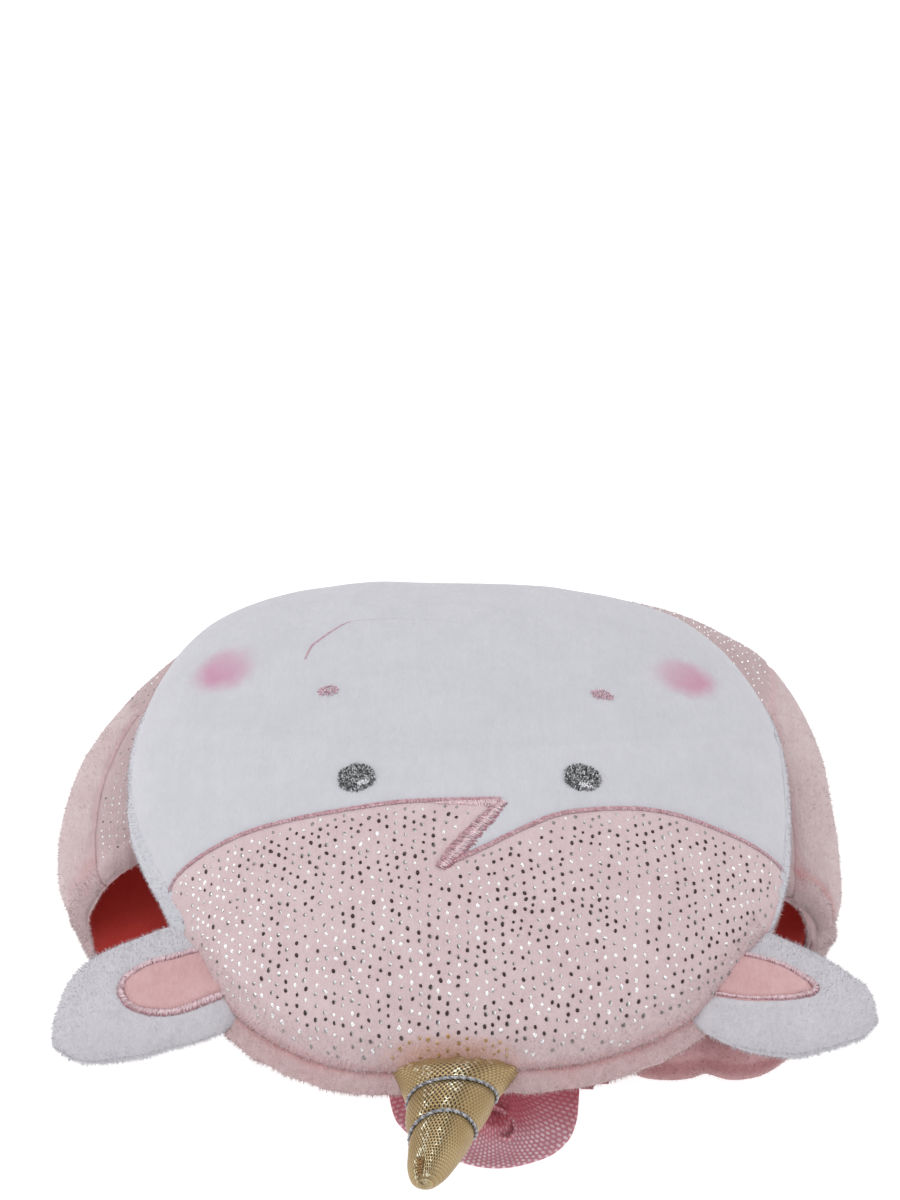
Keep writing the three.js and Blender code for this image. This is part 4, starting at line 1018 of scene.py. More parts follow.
def satin(name, path, wl, wr, height, pitch, place, mat, seed, light_profile=None, radius=0.17):
    """Threads laid side by side across a line. place(xy) gives surface points and normals; the profile is the tone
    across, painted light and shade: darker edges, a lit ridge.
    """
    rng = np.random.default_rng(seed)
    p = resample(path, pitch)
    n = len(p)
    t = unit(np.gradient(p, axis=0))
    left = np.stack([-t[:, 1], t[:, 0]], 1)
    u = np.linspace(0, 1, n)
    wl = np.interp(u, np.linspace(0, 1, len(wl)), wl) * (1 + 0.09 * rng.standard_normal(n))
    wr = np.interp(u, np.linspace(0, 1, len(wr)), wr) * (1 + 0.09 * rng.standard_normal(n))
    m = 9
    a = np.linspace(0, 1, m)
    arch = np.sqrt(np.clip(1 - (2 * a - 1) ** 2, 0, 1)) ** 0.8
    skew = rng.normal(0.25, 0.2, n)[:, None, None]
    off = (wl[:, None] * (1 - a) - wr[:, None] * a)
    xy = p[:, None] + left[:, None] * off[..., None] + t[:, None] * (a[None, :, None] - 0.5) * skew * (wl + wr)[:, None, None]
    P, N = place(xy.reshape(-1, 2))
    P, N = P.reshape(n, m, 3), N.reshape(n, m, 3)
    lift = arch[None] * height * (1 + 0.18 * rng.standard_normal((n, 1))) - 0.12
    C = P + N * lift[..., None]
    T3 = unit(np.gradient(P, axis=0))
    W = radius * (1 + 0.15 * rng.standard_normal((n, 1, 1)))
    rim = np.stack([C - T3 * W, C + N * W * 0.9, C + T3 * W, C - N * W * 0.6], 2)      # n, m, 4, 3
    V = rim.reshape(-1, 3)
    base = (np.arange(n) * m * 4)[:, None, None, None]
    j = np.arange(m - 1)[None, :, None, None] * 4
    q = np.array([[0, 1], [1, 2], [2, 3], [3, 0]])[None, None]
    F = np.stack([base + j + q[..., 0:1], base + j + q[..., 1:2], base + j + 4 + q[..., 1:2], base + j + 4 + q[..., 0:1]], -1).reshape(-1, 4)
    ends = np.stack([base[:, 0, 0, 0][:, None] + np.array([3, 2, 1, 0]), base[:, 0, 0, 0][:, None] + (m - 1) * 4 + np.array([0, 1, 2, 3])], 1).reshape(-1, 4)
    light_profile = light_profile or [(0, 0.15), (0.25, 0.75), (0.6, 0.9), (0.85, 0.6), (1, 0.15)]
    across = np.interp(a, [q[0] for q in light_profile], [q[1] for q in light_profile])
    tones = np.clip(across[None] + 0.13 * rng.standard_normal((n, 1)) + 0.20 * rng.standard_normal((n, m)), 0, 1)
    col = np.repeat(tones[..., None], 4, 2).reshape(-1)
    return make(name, V, [F, ends], mat, color=np.stack([col, col, col], 1))


def on_head(xy, extra=0.0):
    return head_point(xy[:, 0], xy[:, 1], extra)


def on_ear(ear):
    def place(sy):
        s, y = sy[:, 0], sy[:, 1]
        fold = np.exp(-((s - 1.0) / 9.0) ** 2) * np.sin(y / 3.1 + ear["flip"]) * 0.45
        P = ear_top(ear, s, y)
        P[:, 2] += fold
        h = 0.3
        dx = ear_top(ear, s + h, y) - ear_top(ear, s - h, y)
        dy = ear_top(ear, s, y + h) - ear_top(ear, s, y - h)
        N = unit(np.cross(dx, dy))
        N[N[:, 2] < 0] *= -1
        return P, N
    return place


for side, ear, wide in (("left", EAR_LEFT, [1.4] * 8), ("right", EAR_RIGHT, [0.7, 0.7, 0.8, 1.1, 1.5, 1.4, 1.3, 1.2])):
    ear_mesh(side, ear)
    inner, outline = ear_inner_mesh(side, ear)
    # tone across the border: painted shade at its edges, painted light on its ridge
    o = satin(f"ear_border_{side}", outline, wide, wide, 1.15, 0.26, on_ear(ear), M_SATIN, 60 + len(side),
              light_profile=[(0, 0.2), (0.14, 0.45), (0.3, 0.95), (0.7, 1.0), (0.86, 0.4), (1, 0.15)])

# ---- hairline: a narrow satin edge, wide along the zigzag's stroke
# these tones across the satin are painted shade at the edges and painted light on the ridge
EDGE = [(0, 0.2), (0.3, 0.4), (0.55, 0.25), (0.8, 0.5), (1, 0.6)]
a_end = int(np.argmin(np.hypot(HAIR_LINE[:, 0] - 18.9, HAIR_LINE[:, 1] + 24.9)))
b_end = int(np.argmin(np.hypot(HAIR_LINE[:, 0] + 2.4, HAIR_LINE[:, 1] + 52.5)))
satin("hairline_border_left", HAIR_LINE[1:a_end + 1], [0.45, 0.6, 0.6, 0.7, 0.7, 0.8], [0.75, 0.95, 0.95, 0.95, 1.0, 1.1], 0.4, 0.29,
              on_head, M_SATIN, 71, light_profile=EDGE)
satin("hairline_border_right", HAIR_LINE[b_end:-1], [0.9, 0.7, 0.7, 0.6, 0.5, 0.45], [1.0, 1.0, 1.0, 0.95, 0.9, 0.8], 0.4, 0.29,
              on_head, M_SATIN, 72, light_profile=EDGE)
patch = np.array([(-4.0, -27.0), (4.0, -26.8), (11.0, -26.7), (17.6, -26.4)])
satin("hairline_patch", curve_through(patch, 10), [0.4, 0.9, 1.2, 1.5], [0.4, 0.9, 1.6, 2.6], 0.45, 0.26,
              on_head, M_SATIN, 74, light_profile=[(0, 0.6), (0.4, 1.0), (0.8, 0.95), (1, 0.6)])
stroke = np.array([(19.2, -25.6), (14.4, -31.2), (9.0, -38.6), (3.6, -46.2), (-2.0, -53.4)])
satin("hairline_stroke", curve_through(stroke, 10), [2.4, 3.9, 3.7, 3.2, 1.8], [0.6, 1.6, 2.3, 3.2, 2.0], 0.7, 0.25,
              on_head, M_SATIN, 73, light_profile=[(0, 0.05), (0.13, 0.08), (0.22, 0.85), (0.5, 1.0), (0.62, 0.55), (0.8, 0.4), (1, 0.45)])

# ------------------------------------------------------------------ eyes and nose


def grains(name, cx, cy, rx, ry, turn, mat, seed, pitch, length, radius, lift, tone, shape=None, direction=90.0):
    """A patch filled with short embroidery stitches."""
    rng = np.random.default_rng(seed)
    xs = np.arange(-rx, rx + 0.01, pitch)
    ys = np.arange(-ry, ry + 0.01, pitch * 1.25)
    X, Y = np.meshgrid(xs, ys)
    X = (X + (np.arange(len(ys)) % 2)[:, None] * pitch / 2).ravel() + rng.normal(0, pitch * 0.22, X.size)
    Y = Y.ravel() + rng.normal(0, pitch * 0.25, Y.size)
    keep = (X / rx) ** 2 + (Y / ry) ** 2 < 1
    if shape is not None:
        keep &= shape(X, Y)
    X, Y = X[keep], Y[keep]
    a = math.radians(turn)
    gx, gy = cx + X * math.cos(a) - Y * math.sin(a), cy + X * math.sin(a) + Y * math.cos(a)
    n = len(gx)
    d = np.radians(direction + turn + rng.normal(0, 28, n))
    L = length * (0.8 + 0.4 * rng.random(n))
    m = 5
    s = np.linspace(-0.5, 0.5, m)
    px = gx[:, None] + np.cos(d)[:, None] * L[:, None] * s
    py = gy[:, None] + np.sin(d)[:, None] * L[:, None] * s
    P, N = head_point(px.ravel(), py.ravel())
    P, N = P.reshape(n, m, 3), N.reshape(n, m, 3)
    crown = 1 - 0.5 * ((X / rx) ** 2 + (Y / ry) ** 2)
    up = lift * crown[:, None] + (np.cos(s * math.pi)[None] - 0.3) * 0.5 + rng.normal(0, 0.10, (n, 1))
    C = P + N * up[..., None]
    T = unit(np.gradient(C, axis=1))
    B = unit(np.cross(T, N))
    r = radius * np.sqrt(np.clip(1 - (1.7 * s) ** 2, 0.12, 1))[None, :, None]
    k6 = 2 * np.pi * np.arange(6) / 6
    R = C[:, :, None] + r[..., None] * (np.cos(k6)[None, None, :, None] * B[:, :, None] + np.sin(k6)[None, None, :, None] * N[:, :, None])
    V = R.reshape(-1, 3)
    base = (np.arange(n) * m * 6)[:, None, None]
    j = (np.arange(m - 1) * 6)[None, :, None]
    i = np.arange(6)[None, None, :]
    k = (i + 1) % 6
    F = np.stack([base + j + i, base + j + k, base + j + 6 + k, base + j + 6 + i], -1).reshape(-1, 4)
    caps = np.stack([base[:, 0, 0][:, None] + np.arange(6)[::-1], base[:, 0, 0][:, None] + (m - 1) * 6 + np.arange(6)], 1).reshape(-1, 6)
    t = np.clip(tone[0] + (tone[1] - tone[0]) * rng.random((n, 1)) ** 1.6 + 0.12 * rng.standard_normal((n, m)), 0, 1)
    col = np.repeat(t[..., None], 6, 2).reshape(-1)
    return make(name, V, [F, caps], mat, color=np.stack([col] * 3, 1))


def glint(x, y):
    return ((x - 1.7) / 2.3) ** 2 + ((y + 3.5) / 1.0) ** 2 < 1


for k, (x, y, rx, ry, turn) in enumerate(EYES):
    side = ("left", "right")[k]
    grains(f"eye_{side}", x, y, rx, ry, turn, M_EYE, 80 + k, 0.58, 1.5, 0.30, 0.8, (0.02, 1.0), lambda a, b: ~glint(a, b))
    grains(f"eye_glint_{side}", x, y, rx, ry, turn, M_EYEWHITE, 84 + k, 0.50, 1.2, 0.28, 0.95, (0.4, 1.0), glint)
for k, (x, y, rx, ry) in enumerate(NOSTRILS):
    grains(f"nostril_{('left', 'right')[k]}", x, y, rx, ry, (6, -8)[k], M_NOSE, 90 + k, 0.72, 1.1, 0.24, 0.3, (0.25, 1.0),
                   direction=100)
smile = curve_through(SMILE, 10)
# tone across the smile: painted shade on one side of its groove, painted light on the other
satin("smile_stitch", smile[:42], [0.35, 0.5, 0.55, 0.45, 0.25], [0.35, 0.45, 0.4, 0.3, 0.2], 0.28, 0.42,
              on_head, M_NOSE, 95, light_profile=[(0, 0.3), (1, 0.7)])
satin("smile_line", smile[41:], [0.25, 0.22, 0.2, 0.16, 0.12], [0.2, 0.2, 0.16, 0.14, 0.1], 0.14, 0.4,
              on_head, M_PALE, 96, light_profile=[(0, 0.4), (1, 0.8)], radius=0.13)

# ------------------------------------------------------------------ foil dots


def dots(name, P, N, T, seed, size=(0.68, 0.90), tilt=13.0, dark=0.5, horn_gold_reflection=None, keep=None, pale=0.0, lift=0.0):
    """Small foil ovals lying on a surface. P points, N normals, T the direction of their long axis. Their tone is
    painted reflection: dark, half-lit or bright, paled towards grey by pale, brightened by lift, gold near the horn.
    """
    rng = np.random.default_rng(seed)
    if keep is not None:
        P, N, T = P[keep], N[keep], T[keep]
    n = len(P)
    ax = unit(T - N * (T * N).sum(-1, keepdims=True))
    ay = np.cross(N, ax)
    tx, ty = np.radians(rng.normal(0, tilt, (2, n)))
    N2 = unit(N + ax * np.tan(tx)[:, None] + ay * np.tan(ty)[:, None])
    ax = unit(ax - N2 * (ax * N2).sum(-1, keepdims=True))
    ay = np.cross(N2, ax)
    spin = rng.normal(0, 0.3, n)
    ax, ay = ax * np.cos(spin)[:, None] + ay * np.sin(spin)[:, None], ay * np.cos(spin)[:, None] - ax * np.sin(spin)[:, None]
    k = 8
    a = 2 * np.pi * np.arange(k) / k
    scale = (0.82 + 0.36 * rng.random(n))[:, None, None]
    sy = size[0] * scale
    sx = size[1] * scale * (0.85 + 0.3 * rng.random(n))[:, None, None]
    ring = P[:, None] + ax[:, None] * np.cos(a)[None, :, None] * sx + ay[:, None] * np.sin(a)[None, :, None] * sy
    mid = P[:, None] + N2[:, None] * 0.34
    V = np.concatenate([ring - N[:, None] * 0.1, P[:, None] + (ring - P[:, None]) * 0.55 + N2[:, None] * 0.30, mid], 1)      # n, 2k+1, 3
    m = 2 * k + 1
    base = (np.arange(n) * m)[:, None]
    i = np.arange(k)
    j = (i + 1) % k
    tri = np.stack([base + k + i, base + k + j, base + 2 * k + 0 * i], -1).reshape(-1, 3)
    quad = np.stack([base + i, base + j, base + k + j, base + k + i], -1).reshape(-1, 4)
    # painted reflection: each dot dark, half dark and half bright, or bright, lighter on one side
    area = np.clip(dark + 0.28 * noise(P, 26, seed) + 0.22 * noise(P, 9, seed + 1), 0.03, 0.97)
    pick = rng.random(n)
    bias = np.where(pick < area * 0.72, -0.75, np.where(pick < area * 0.72 + 0.28, 0.0, 0.65)) + rng.normal(0, 0.13, n)
    phi = rng.normal(0.35, 0.5, n)
    gain = rng.uniform(0.55, 1.0, n)
    right_way = (ax * np.array([1.0, 0, 0])).sum(1), (ay * np.array([1.0, 0, 0])).sum(1)
    turn = np.arctan2(right_way[1], right_way[0]) + phi
    ring_t = np.cos(a[None] - turn[:, None])
    body = 0.5 + bias[:, None] + gain[:, None] * np.concatenate([ring_t, ring_t * 0.45, np.zeros((n, 1))], 1)
    body = np.clip(body, 0, 1) ** 1.3
    pale = np.broadcast_to(np.asarray(pale, float), (n,))[:, None]
    body = body * (1 - pale) + (0.30 + 0.45 * body) * pale
    body = np.clip(body + np.broadcast_to(np.asarray(lift, float), (n,))[:, None], 0, 1)
    g = np.zeros(n) if horn_gold_reflection is None else horn_gold_reflection(P)
    col = np.stack([body.reshape(-1), np.repeat(g, m), body.reshape(-1)], 1)
    return make(name, V.reshape(-1, 3), [tri, quad], M_FOIL, color=col)


def cloth_grid(w, h, pitch_u, pitch_v, seed):
    """Staggered dots on flat cloth, a little wavy."""
    rng = np.random.default_rng(seed)
    u, v = np.meshgrid(np.arange(-w, w, pitch_u), np.arange(-h, h, pitch_v))
    v = v + (np.arange(u.shape[1]) % 2)[None] * pitch_v / 2
    P = np.stack([u.ravel(), v.ravel(), np.zeros(u.size)], 1)
    P[:, 0] += noise(P, 17, 51) * 2.0 + rng.normal(0, 0.30, len(P))
    P[:, 1] += noise(P, 13, 52) * 1.2 + rng.normal(0, 0.42, len(P))
    return P[:, :2]


flat = cloth_grid(160, 160, 3.25, 3.75, 5)
rr = np.hypot(flat[:, 0], flat[:, 1]) * ARC / 118 * 118 / ARC
thf = np.arctan2(flat[:, 1], flat[:, 0])
kf = k_at_arc(np.clip(rr, 0, ARC)) + 0 * rr
ok = rr < ARC - 3.0
xy = np.stack([HEAD_X + head_radius(thf) * kf * np.cos(thf), HEAD_Y + head_radius(thf) * kf * np.sin(thf)], 1)[ok]
lock_poly = np.vstack([HAIR_LINE[::-1], arc_points(left_h, right_h)])
xy = xy[in_polygon(xy, lock_poly)]
stroke_gap = distance_to(xy, curve_through(stroke, 10))
xy = xy[(distance_to(xy, HAIR_LINE) > 2.6) & (stroke_gap > 4.6)]
P, N = head_point(xy[:, 0], xy[:, 1])
dk, dth = head_k(xy[:, 0], xy[:, 1])
T = np.tile([0.0, 1.0, 0.0], (len(P), 1))
rng = np.random.default_rng(4)
drop = ARC - arc_at_k(dk)
keep = rng.random(len(P)) < 0.35 + 0.65 * smooth(2, 12, drop)
# painted reflection: zones of bright dots, greyer dots near the hairline and edge, gold ones by the horn
bright = (np.exp(-(((xy[:, 0] + 62) / 26) ** 2 + ((xy[:, 1] + 70) / 30) ** 2)) + np.exp(-(((xy[:, 0] - 42) / 26) ** 2 + ((xy[:, 1] + 88) / 12) ** 2))
          + 0.7 * np.exp(-(((xy[:, 0] + 80) / 14) ** 2 + ((xy[:, 1] + 50) / 14) ** 2)))
near_line = np.minimum(distance_to(xy, HAIR_LINE) / 7.0, drop / 14.0)
foil_forelock = dots("foil_forelock", P[keep], N[keep], T[keep], 6, dark=(0.66 - 0.26 * bright)[keep],
                     pale=(0.75 * smooth(1.0, 0.45, near_line))[keep],
                     horn_gold_reflection=lambda q: (np.hypot((q[:, 0] - 2) / 24, (q[:, 1] + 113.5) / 6.5) < 1) * 0.85)

# ------------------------------------------------------------------ horn
hx, hrx, hrz, hz = (table(HORN, 0, k) for k in (1, 2, 3, 4))
cord_y = table(CORD, 0, 1)


def horn_cord_distance(a, y):
    """Signed distance along the horn from a point to the nearest turn of the cord."""
    best = np.full(np.broadcast(a, y).shape, 99.0)
    for turn in (-1, 0, 1, 2):
        ang = np.degrees(a) + 360 * turn
        ok = (ang >= -70) & (ang <= 610)
        d = y - cord_y(np.clip(ang, -70, 610))
        best = np.where(ok & (np.abs(d) < np.abs(best)), d, best)
    return best


def horn_surface(y, a, out=0.0):
    d = horn_cord_distance(a, y)
    sink = 0.85 * np.exp(-((d / 1.6) ** 2)) * smooth(-156, -148, y)
    puff = 0.22 * np.cos(np.clip(d, -9, 9) / 9 * math.pi) * -1
    rx = hrx(y) + out - sink + puff * 0.6
    rz = hrz(y) + out - sink + puff * 0.6
    under = 4.4 * smooth(-117, -105, y) * np.maximum(np.sin(a), 0)
    return np.stack([hx(y) + rx * np.cos(a), y + 0 * a, hz(y) + rz * np.sin(a) - under], -1)


n, m = ((140, 132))
ys = np.concatenate([np.linspace(-104, -150, n - 24), -150 - 6.8 * np.sin(np.linspace(0, math.pi / 2, 25))[1:]])
A = (2 * np.pi * np.arange(m) / m)[None, :]
Y = ys[:, None]
G = horn_surface(Y + 0 * A, A + 0 * Y)
G[-1] = G[-1].mean(0) + (G[-1] - G[-1].mean(0)) * 0.35
# gathers at the sewn base and a pinch at the tip
gather = np.exp(-((Y + 110) / 5.0) ** 2) * np.sin(A * 17 + np.sin(A * 5)) * 0.35
pinch_a = math.radians(115)
pinch = np.exp(-(((Y + 153.2) / 3.2) ** 2)) * np.exp(-((np.angle(np.exp(1j * (A - pinch_a))) / 0.22) ** 2)) * 1.4
Nn = grid_normals(G, wrap=True)
mid = G.mean(1, keepdims=True)
if ((G - mid) * Nn).sum() < 0:
    Nn = -Nn
G = G + Nn * (gather - pinch + 0.22 * fbm(G, 9, 61, 2))[..., None]
V, F = lofted(G)
arc = np.cumsum(np.full(n, 46 / n))
circ = hrx(ys) * 2 * math.pi
UV = np.stack([np.repeat(((A[0] / (2 * math.pi)) - 0.25)[None], n, 0) * np.maximum(circ, 30)[:, None] * 0 + (A - math.pi / 2) * 15.0,
               np.repeat(-ys[:, None], m, 1)], -1).reshape(-1, 2)
UV = np.vstack([UV, [[0, -ys[0]], [0, -ys[-1]]]])
hn = grid_normals(G, wrap=True)
if ((G - mid) * hn).sum() < 0:
    hn = -hn
# painted light: holes show most where the horn faces up, and the glint bands follow its facing
face = np.exp(-(((hn[..., 0] + 0.12) / 0.5) ** 2)) * smooth(0.1, 0.5, hn[..., 2])
patchy = smooth(-0.5, 0.15, noise(G, 11, 63) + 0.35 * smooth(-118, -128, G[..., 1]))
zone = np.clip(0.30 + 1.15 * face * (0.35 + 0.65 * patchy), 0, 1) * smooth(-111, -119, G[..., 1])
band = smooth(0.25, 0.8, np.exp(-(((hn[..., 0] + 0.42) / 0.16) ** 2)) + np.exp(-(((hn[..., 0] - 0.1) / 0.14) ** 2)) * 0.9) * smooth(0.1, 0.5, hn[..., 2])
ZC = np.stack([zone.ravel(), band.ravel(), band.ravel()], 1)
horn = make("horn_lame", V, F, M_LAME, uv=UV, color=np.vstack([ZC, [[0, 0, 0], [0, 0, 0]]]))
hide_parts("horn")

# twisted cord of two strands
deg = np.linspace(-70, 610, 420)
cp = horn_surface(cord_y(deg), np.radians(deg), 0.55)
s = np.concatenate([[0], np.cumsum(np.linalg.norm(np.diff(cp, axis=0), axis=1))])
t3 = unit(np.gradient(cp, axis=0))
axis = np.stack([hx(cord_y(deg)), cord_y(deg), hz(cord_y(deg))], 1)
n3 = unit(cp - axis)
n3 = unit(n3 - t3 * (n3 * t3).sum(1, keepdims=True))
b3 = np.cross(t3, n3)
strands = []
for k in range(2):
    ph = s * 2 * math.pi / 3.4 + k * math.pi + 0.5 * np.sin(s * 0.9)
    c = cp + n3 * (np.cos(ph) * 0.30)[:, None] + b3 * (np.sin(ph) * 0.30)[:, None]
    V, F = tube(c, 0.38 * (1 + 0.12 * np.sin(s * 1.7 + k)), 8)
    tone = 0.55 + 0.4 * np.sin(np.repeat(s, 8) * 2.1 + k) + 0.15 * np.random.default_rng(k).standard_normal(len(s) * 8)
    tone = np.clip(np.concatenate([tone, [0.5, 0.5]]), 0.05, 1)
    strands.append((V, F, np.stack([tone] * 3, 1)))
V, F, C = merge(strands)
horn_cord = make("horn_cord_twist", V, F, M_CORD, color=C)
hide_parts("horn_cord")

# stitched pinch at the tip
rng = np.random.default_rng(12)
tiny = []
for k in range(7):
    yy = -150.6 - k * 0.75
    a = pinch_a + np.linspace(-0.16, 0.16, 6) + rng.normal(0, 0.03)
    c = horn_surface(np.full(6, yy) + rng.normal(0, 0.15, 6), a, -0.15)
    V, F = tube(c, 0.3, 6)
    tiny.append((V, F, np.full((len(V), 3), 0.2 + 0.3 * rng.random())))
M_GOLDTHREAD = thread("gold_thread", (0.55, 0.30, 0.08), (0.16, 0.07, 0.015))
V, F, C = merge(tiny)
make("horn_tip_stitch", V, F, M_GOLDTHREAD, color=C)

# ------------------------------------------------------------------ sack
sx, sw, szb, szt = (table(SACK, 0, k) for k in (1, 2, 3, 4))
mouth = table(MOUTH, 0, 1)


def mouth_y(deg):
    deg = np.asarray(deg, float) % 360
    wave = noise(np.stack([deg / 360 * 420 + 9, 0 * deg, 0 * deg], -1), 9.0, 201) * 1.3 + noise(np.stack([deg / 360 * 420, 0 * deg, 0 * deg], -1), 4.0, 202) * 0.7
    d = (deg + 180) % 360 - 180
    return mouth(deg) + wave * smooth(205, 190, deg % 330) - 6.5 * np.exp(-(((d + 18) / 22.0) ** 2))


def curl(deg, to_mouth):
    """How far the hem leans into the bag."""
    d = (np.asarray(deg, float) + 180) % 360 - 180
    right_side = np.exp(-(((d - 2) / 34.0) ** 2)) * 9.0
    left_side = np.exp(-(((np.abs(d) - 180) / 26.0) ** 2)) * 1.5
    return (right_side + left_side) * smooth(26, 0, to_mouth)


def strap_lift(x, y):
    lift = np.zeros(np.shape(x))

    def near(ax, ay, bx, by, hw, top):
        nonlocal lift
        l2 = (bx - ax) ** 2 + (by - ay) ** 2
        t = np.clip(((x - ax) * (bx - ax) + (y - ay) * (by - ay)) / l2, 0, 1)
        d = np.hypot(x - ax - t * (bx - ax), y - ay - t * (by - ay)) - hw - LIFT_PAST
        u = np.clip(1 - d / LIFT_FADE, 0, 1)
        lift = np.maximum(lift, (top + 0.5) * np.where(d <= 0, 1, u * u * (3 - 2 * u)))

    for rows in (STRAP_LEFT, STRAP_RIGHT):
        f = [r for r in rows if r[5] < 8]
        for p, q in zip(f[:-1], f[1:]):
            near(p[0], p[1], q[0], q[1], max(p[3], q[3]), 6.9)
    for a, b in (TAIL_LEFT, TAIL_RIGHT):
        near(*a, *b, WEB_W / 2, 5.2)
    return lift


def sack_point(y, deg, inset, lift=strap_lift):
    y, deg, inset = np.broadcast_arrays(np.asarray(y, float), np.asarray(deg, float), np.asarray(inset, float))
    yy = np.where(y > 100, y - inset * (y - 100) / 37, y)
    w = sw(y) - inset
    zb, zt = szb(y) + inset, szt(y) - inset
    h = np.maximum(1.2, (zt - zb) / 2)
    c, s = np.cos(np.radians(deg)), np.sin(np.radians(deg))
    x = sx(y) + w * pw(c, 2 / SACK_M)
    z = (zt + zb) / 2 + h * pw(s, 2 / SACK_M)
    z = np.where(s < 0, np.maximum(z, lift(x, yy) + inset), z)
    return np.stack([x, yy, z], -1)


def even_degrees(a0, a1, n, y=20.0):
    """Angles that are evenly spaced along the section between a0 and a1."""
    d = np.linspace(a0, a1, 1200)
    p = sack_point(np.full(1200, y), d, 0.0)
    s = np.concatenate([[0], np.cumsum(np.linalg.norm(np.diff(p, axis=0), axis=1))])
    return np.interp(np.linspace(0, s[-1], n), s, d), s[-1]


def sack_relief(P, side):
    """Soft creases of the slack sack."""
    long_fold = noise(P * [1, 0.35, 1], 17, 71) * 0.9 + noise(P * [1, 0.5, 1], 8, 72) * 0.3
    return fbm(P, 34, 73, 2) * 0.9 + long_fold * 0.55


def sack_panel(name, node, a0, a1, mat, nu, nv, hem=1.0, fuzz=0):
    deg, width = even_degrees(a0, a1, nu)
    v = np.linspace(0, 1, nv)
    D = np.broadcast_to(deg[None], (nv, nu))
    y0, y1 = SACK_JOIN_Y, mouth_y(D)
    Yg = y0 + (y1 - y0) * (1 - (1 - v[:, None]) ** 1.35)
    to_mouth = np.abs(y1 - Yg)
    i = np.arange(nu) / (nu - 1)
    to_side = np.minimum(i, 1 - i)[None] * width
    to_far = np.abs(Yg - y0)
    # a rounded, gathered hem at the mouth; dips at the seams
    right_side = np.exp(-((((D + 180) % 360 - 182) / 34.0) ** 2))
    hem_r = (4.0 + 3.5 * right_side) * hem
    crease_at = 0.22 + 0.78 * right_side
    hem_in = np.where(to_mouth < hem_r, (1 - np.sqrt(np.clip(1 - (1 - to_mouth / hem_r) ** 2, 0, 1))) * (2.2 + 1.5 * right_side), 0)
    hem_out = 1.5 * hem * np.exp(-(((to_mouth - 5.0) / 3.6) ** 2)) - 1.3 * hem * crease_at * np.exp(-(((to_mouth - 12.0) / 2.2) ** 2))
    seam_in = 0.85 * np.exp(-((to_side / 1.9) ** 2))
    G = sack_point(Yg, D, 0.0)
    N = grid_normals(G)
    centre = np.stack([sx(Yg), Yg, (szb(Yg) + szt(Yg)) / 2], -1)
    if ((G - centre) * N).sum() < 0:
        N = -N
    along = np.stack([G[..., 0] * 1.0, G[..., 1] * 0.22, G[..., 2] * 1.0], -1)
    gathers = noise(along, 3.4, 75) * 0.7 + noise(along, 6.5, 76) * 0.9
    pucker = gathers * np.exp(-((to_mouth - 8) / 8.0) ** 2) * hem
    pucker_side = noise(np.stack([G[..., 0] * 0.2, G[..., 1], G[..., 2] * 0.2], -1), 4.0, 77) * 0.5 * np.exp(-((to_side / 6.0) ** 2))
    relief = sack_relief(G, name)
    amount = relief + pucker * 1.1 + pucker_side + hem_out - hem_in - seam_in + 0.12 * fbm(G, 4, 79, 2)
    down = smooth(0.0, -0.6, N[..., 2])
    amount = amount * (1 - 0.75 * down) - (1 - 0.6 * right_side) * curl(D, to_mouth) * np.abs(np.cos(np.radians(D)))
    outer = G + N * amount[..., None]
    outer[..., 2] = np.maximum(outer[..., 2], 0.4)
    inner = sack_point(Yg, D, CLOTH + curl(D, to_mouth) * np.abs(np.cos(np.radians(D))))
    rim = np.clip(1 - to_mouth / hem_r, 0, 1)
    inner = inner + (outer - inner) * (0.42 * rim**3)[..., None]
    V, F = slab(outer, inner)
    # painted shade: the fold below the hem, the seams, the hollows of puckers and folds, and the inside of the sack
    crease_shade_mark = (0.8 * hem * crease_at * np.exp(-(((to_mouth - 12.0) / 1.7) ** 2)) + 0.34 * np.exp(-((to_side / 1.3) ** 2)) + 0.6 * np.clip(-pucker, 0, 1)
            + 0.35 * np.clip(-relief - 0.35, 0, 1))
    inside = np.full(crease_shade_mark.size, 0.35) + 0.5 * np.clip(gathers, 0, 1).ravel()
    tone = np.clip(np.concatenate([crease_shade_mark.ravel(), inside]), 0, 1)
    o = make(name, V, F, mat, color=np.stack([tone] * 3, 1))
    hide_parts(node)
    Nn = grid_normals(outer)
    if (Nn * N).sum() < 0:
        Nn = -Nn
    if fuzz:
        w = (0.06 + 1.6 * np.exp(-((to_mouth / 8.0) ** 2))) * (Nn[..., 2] > -0.5)
        P, Q = scatter(outer, Nn, int(fuzz * MANY), nu + nv, weight=w)
        fibres(name + "_fibres", P, Q, F_PINK, nu + nv, length=1.3, width=0.22, comb=(0, -0.35, 0), spread=0.5)
        Ni = -grid_normals(inner)
        if (Ni * Nn).sum() > 0:
            Ni = -Ni
        P, Q = scatter(inner, Ni, int(fuzz * 0.4 * MANY), nu + nv + 1, weight=np.exp(-((to_mouth / 5.0) ** 2)) + 0 * w)
        fibres(name + "_lip_fibres", P, Q, F_PINK, nu + nv + 1, length=1.2, width=0.22, spread=0.5)
        # the hem's pile hangs over the edge of the opening
        e = outer[-1]
        rng = np.random.default_rng(nu)
        at = rng.uniform(0, nu - 1.001, int(fuzz * 0.25 * MANY))
        k = at.astype(int)
        P = e[k] + (e[k + 1] - e[k]) * (at - k)[:, None]
        Q = unit(Nn[-1][k] * 0.5 + [0, -1.0, 0])
        fibres(name + "_hem_fibres", P, Q, F_PINK, nu, length=1.4, width=0.24, spread=0.6)
    return o, outer, Nn, to_mouth, to_side, to_far


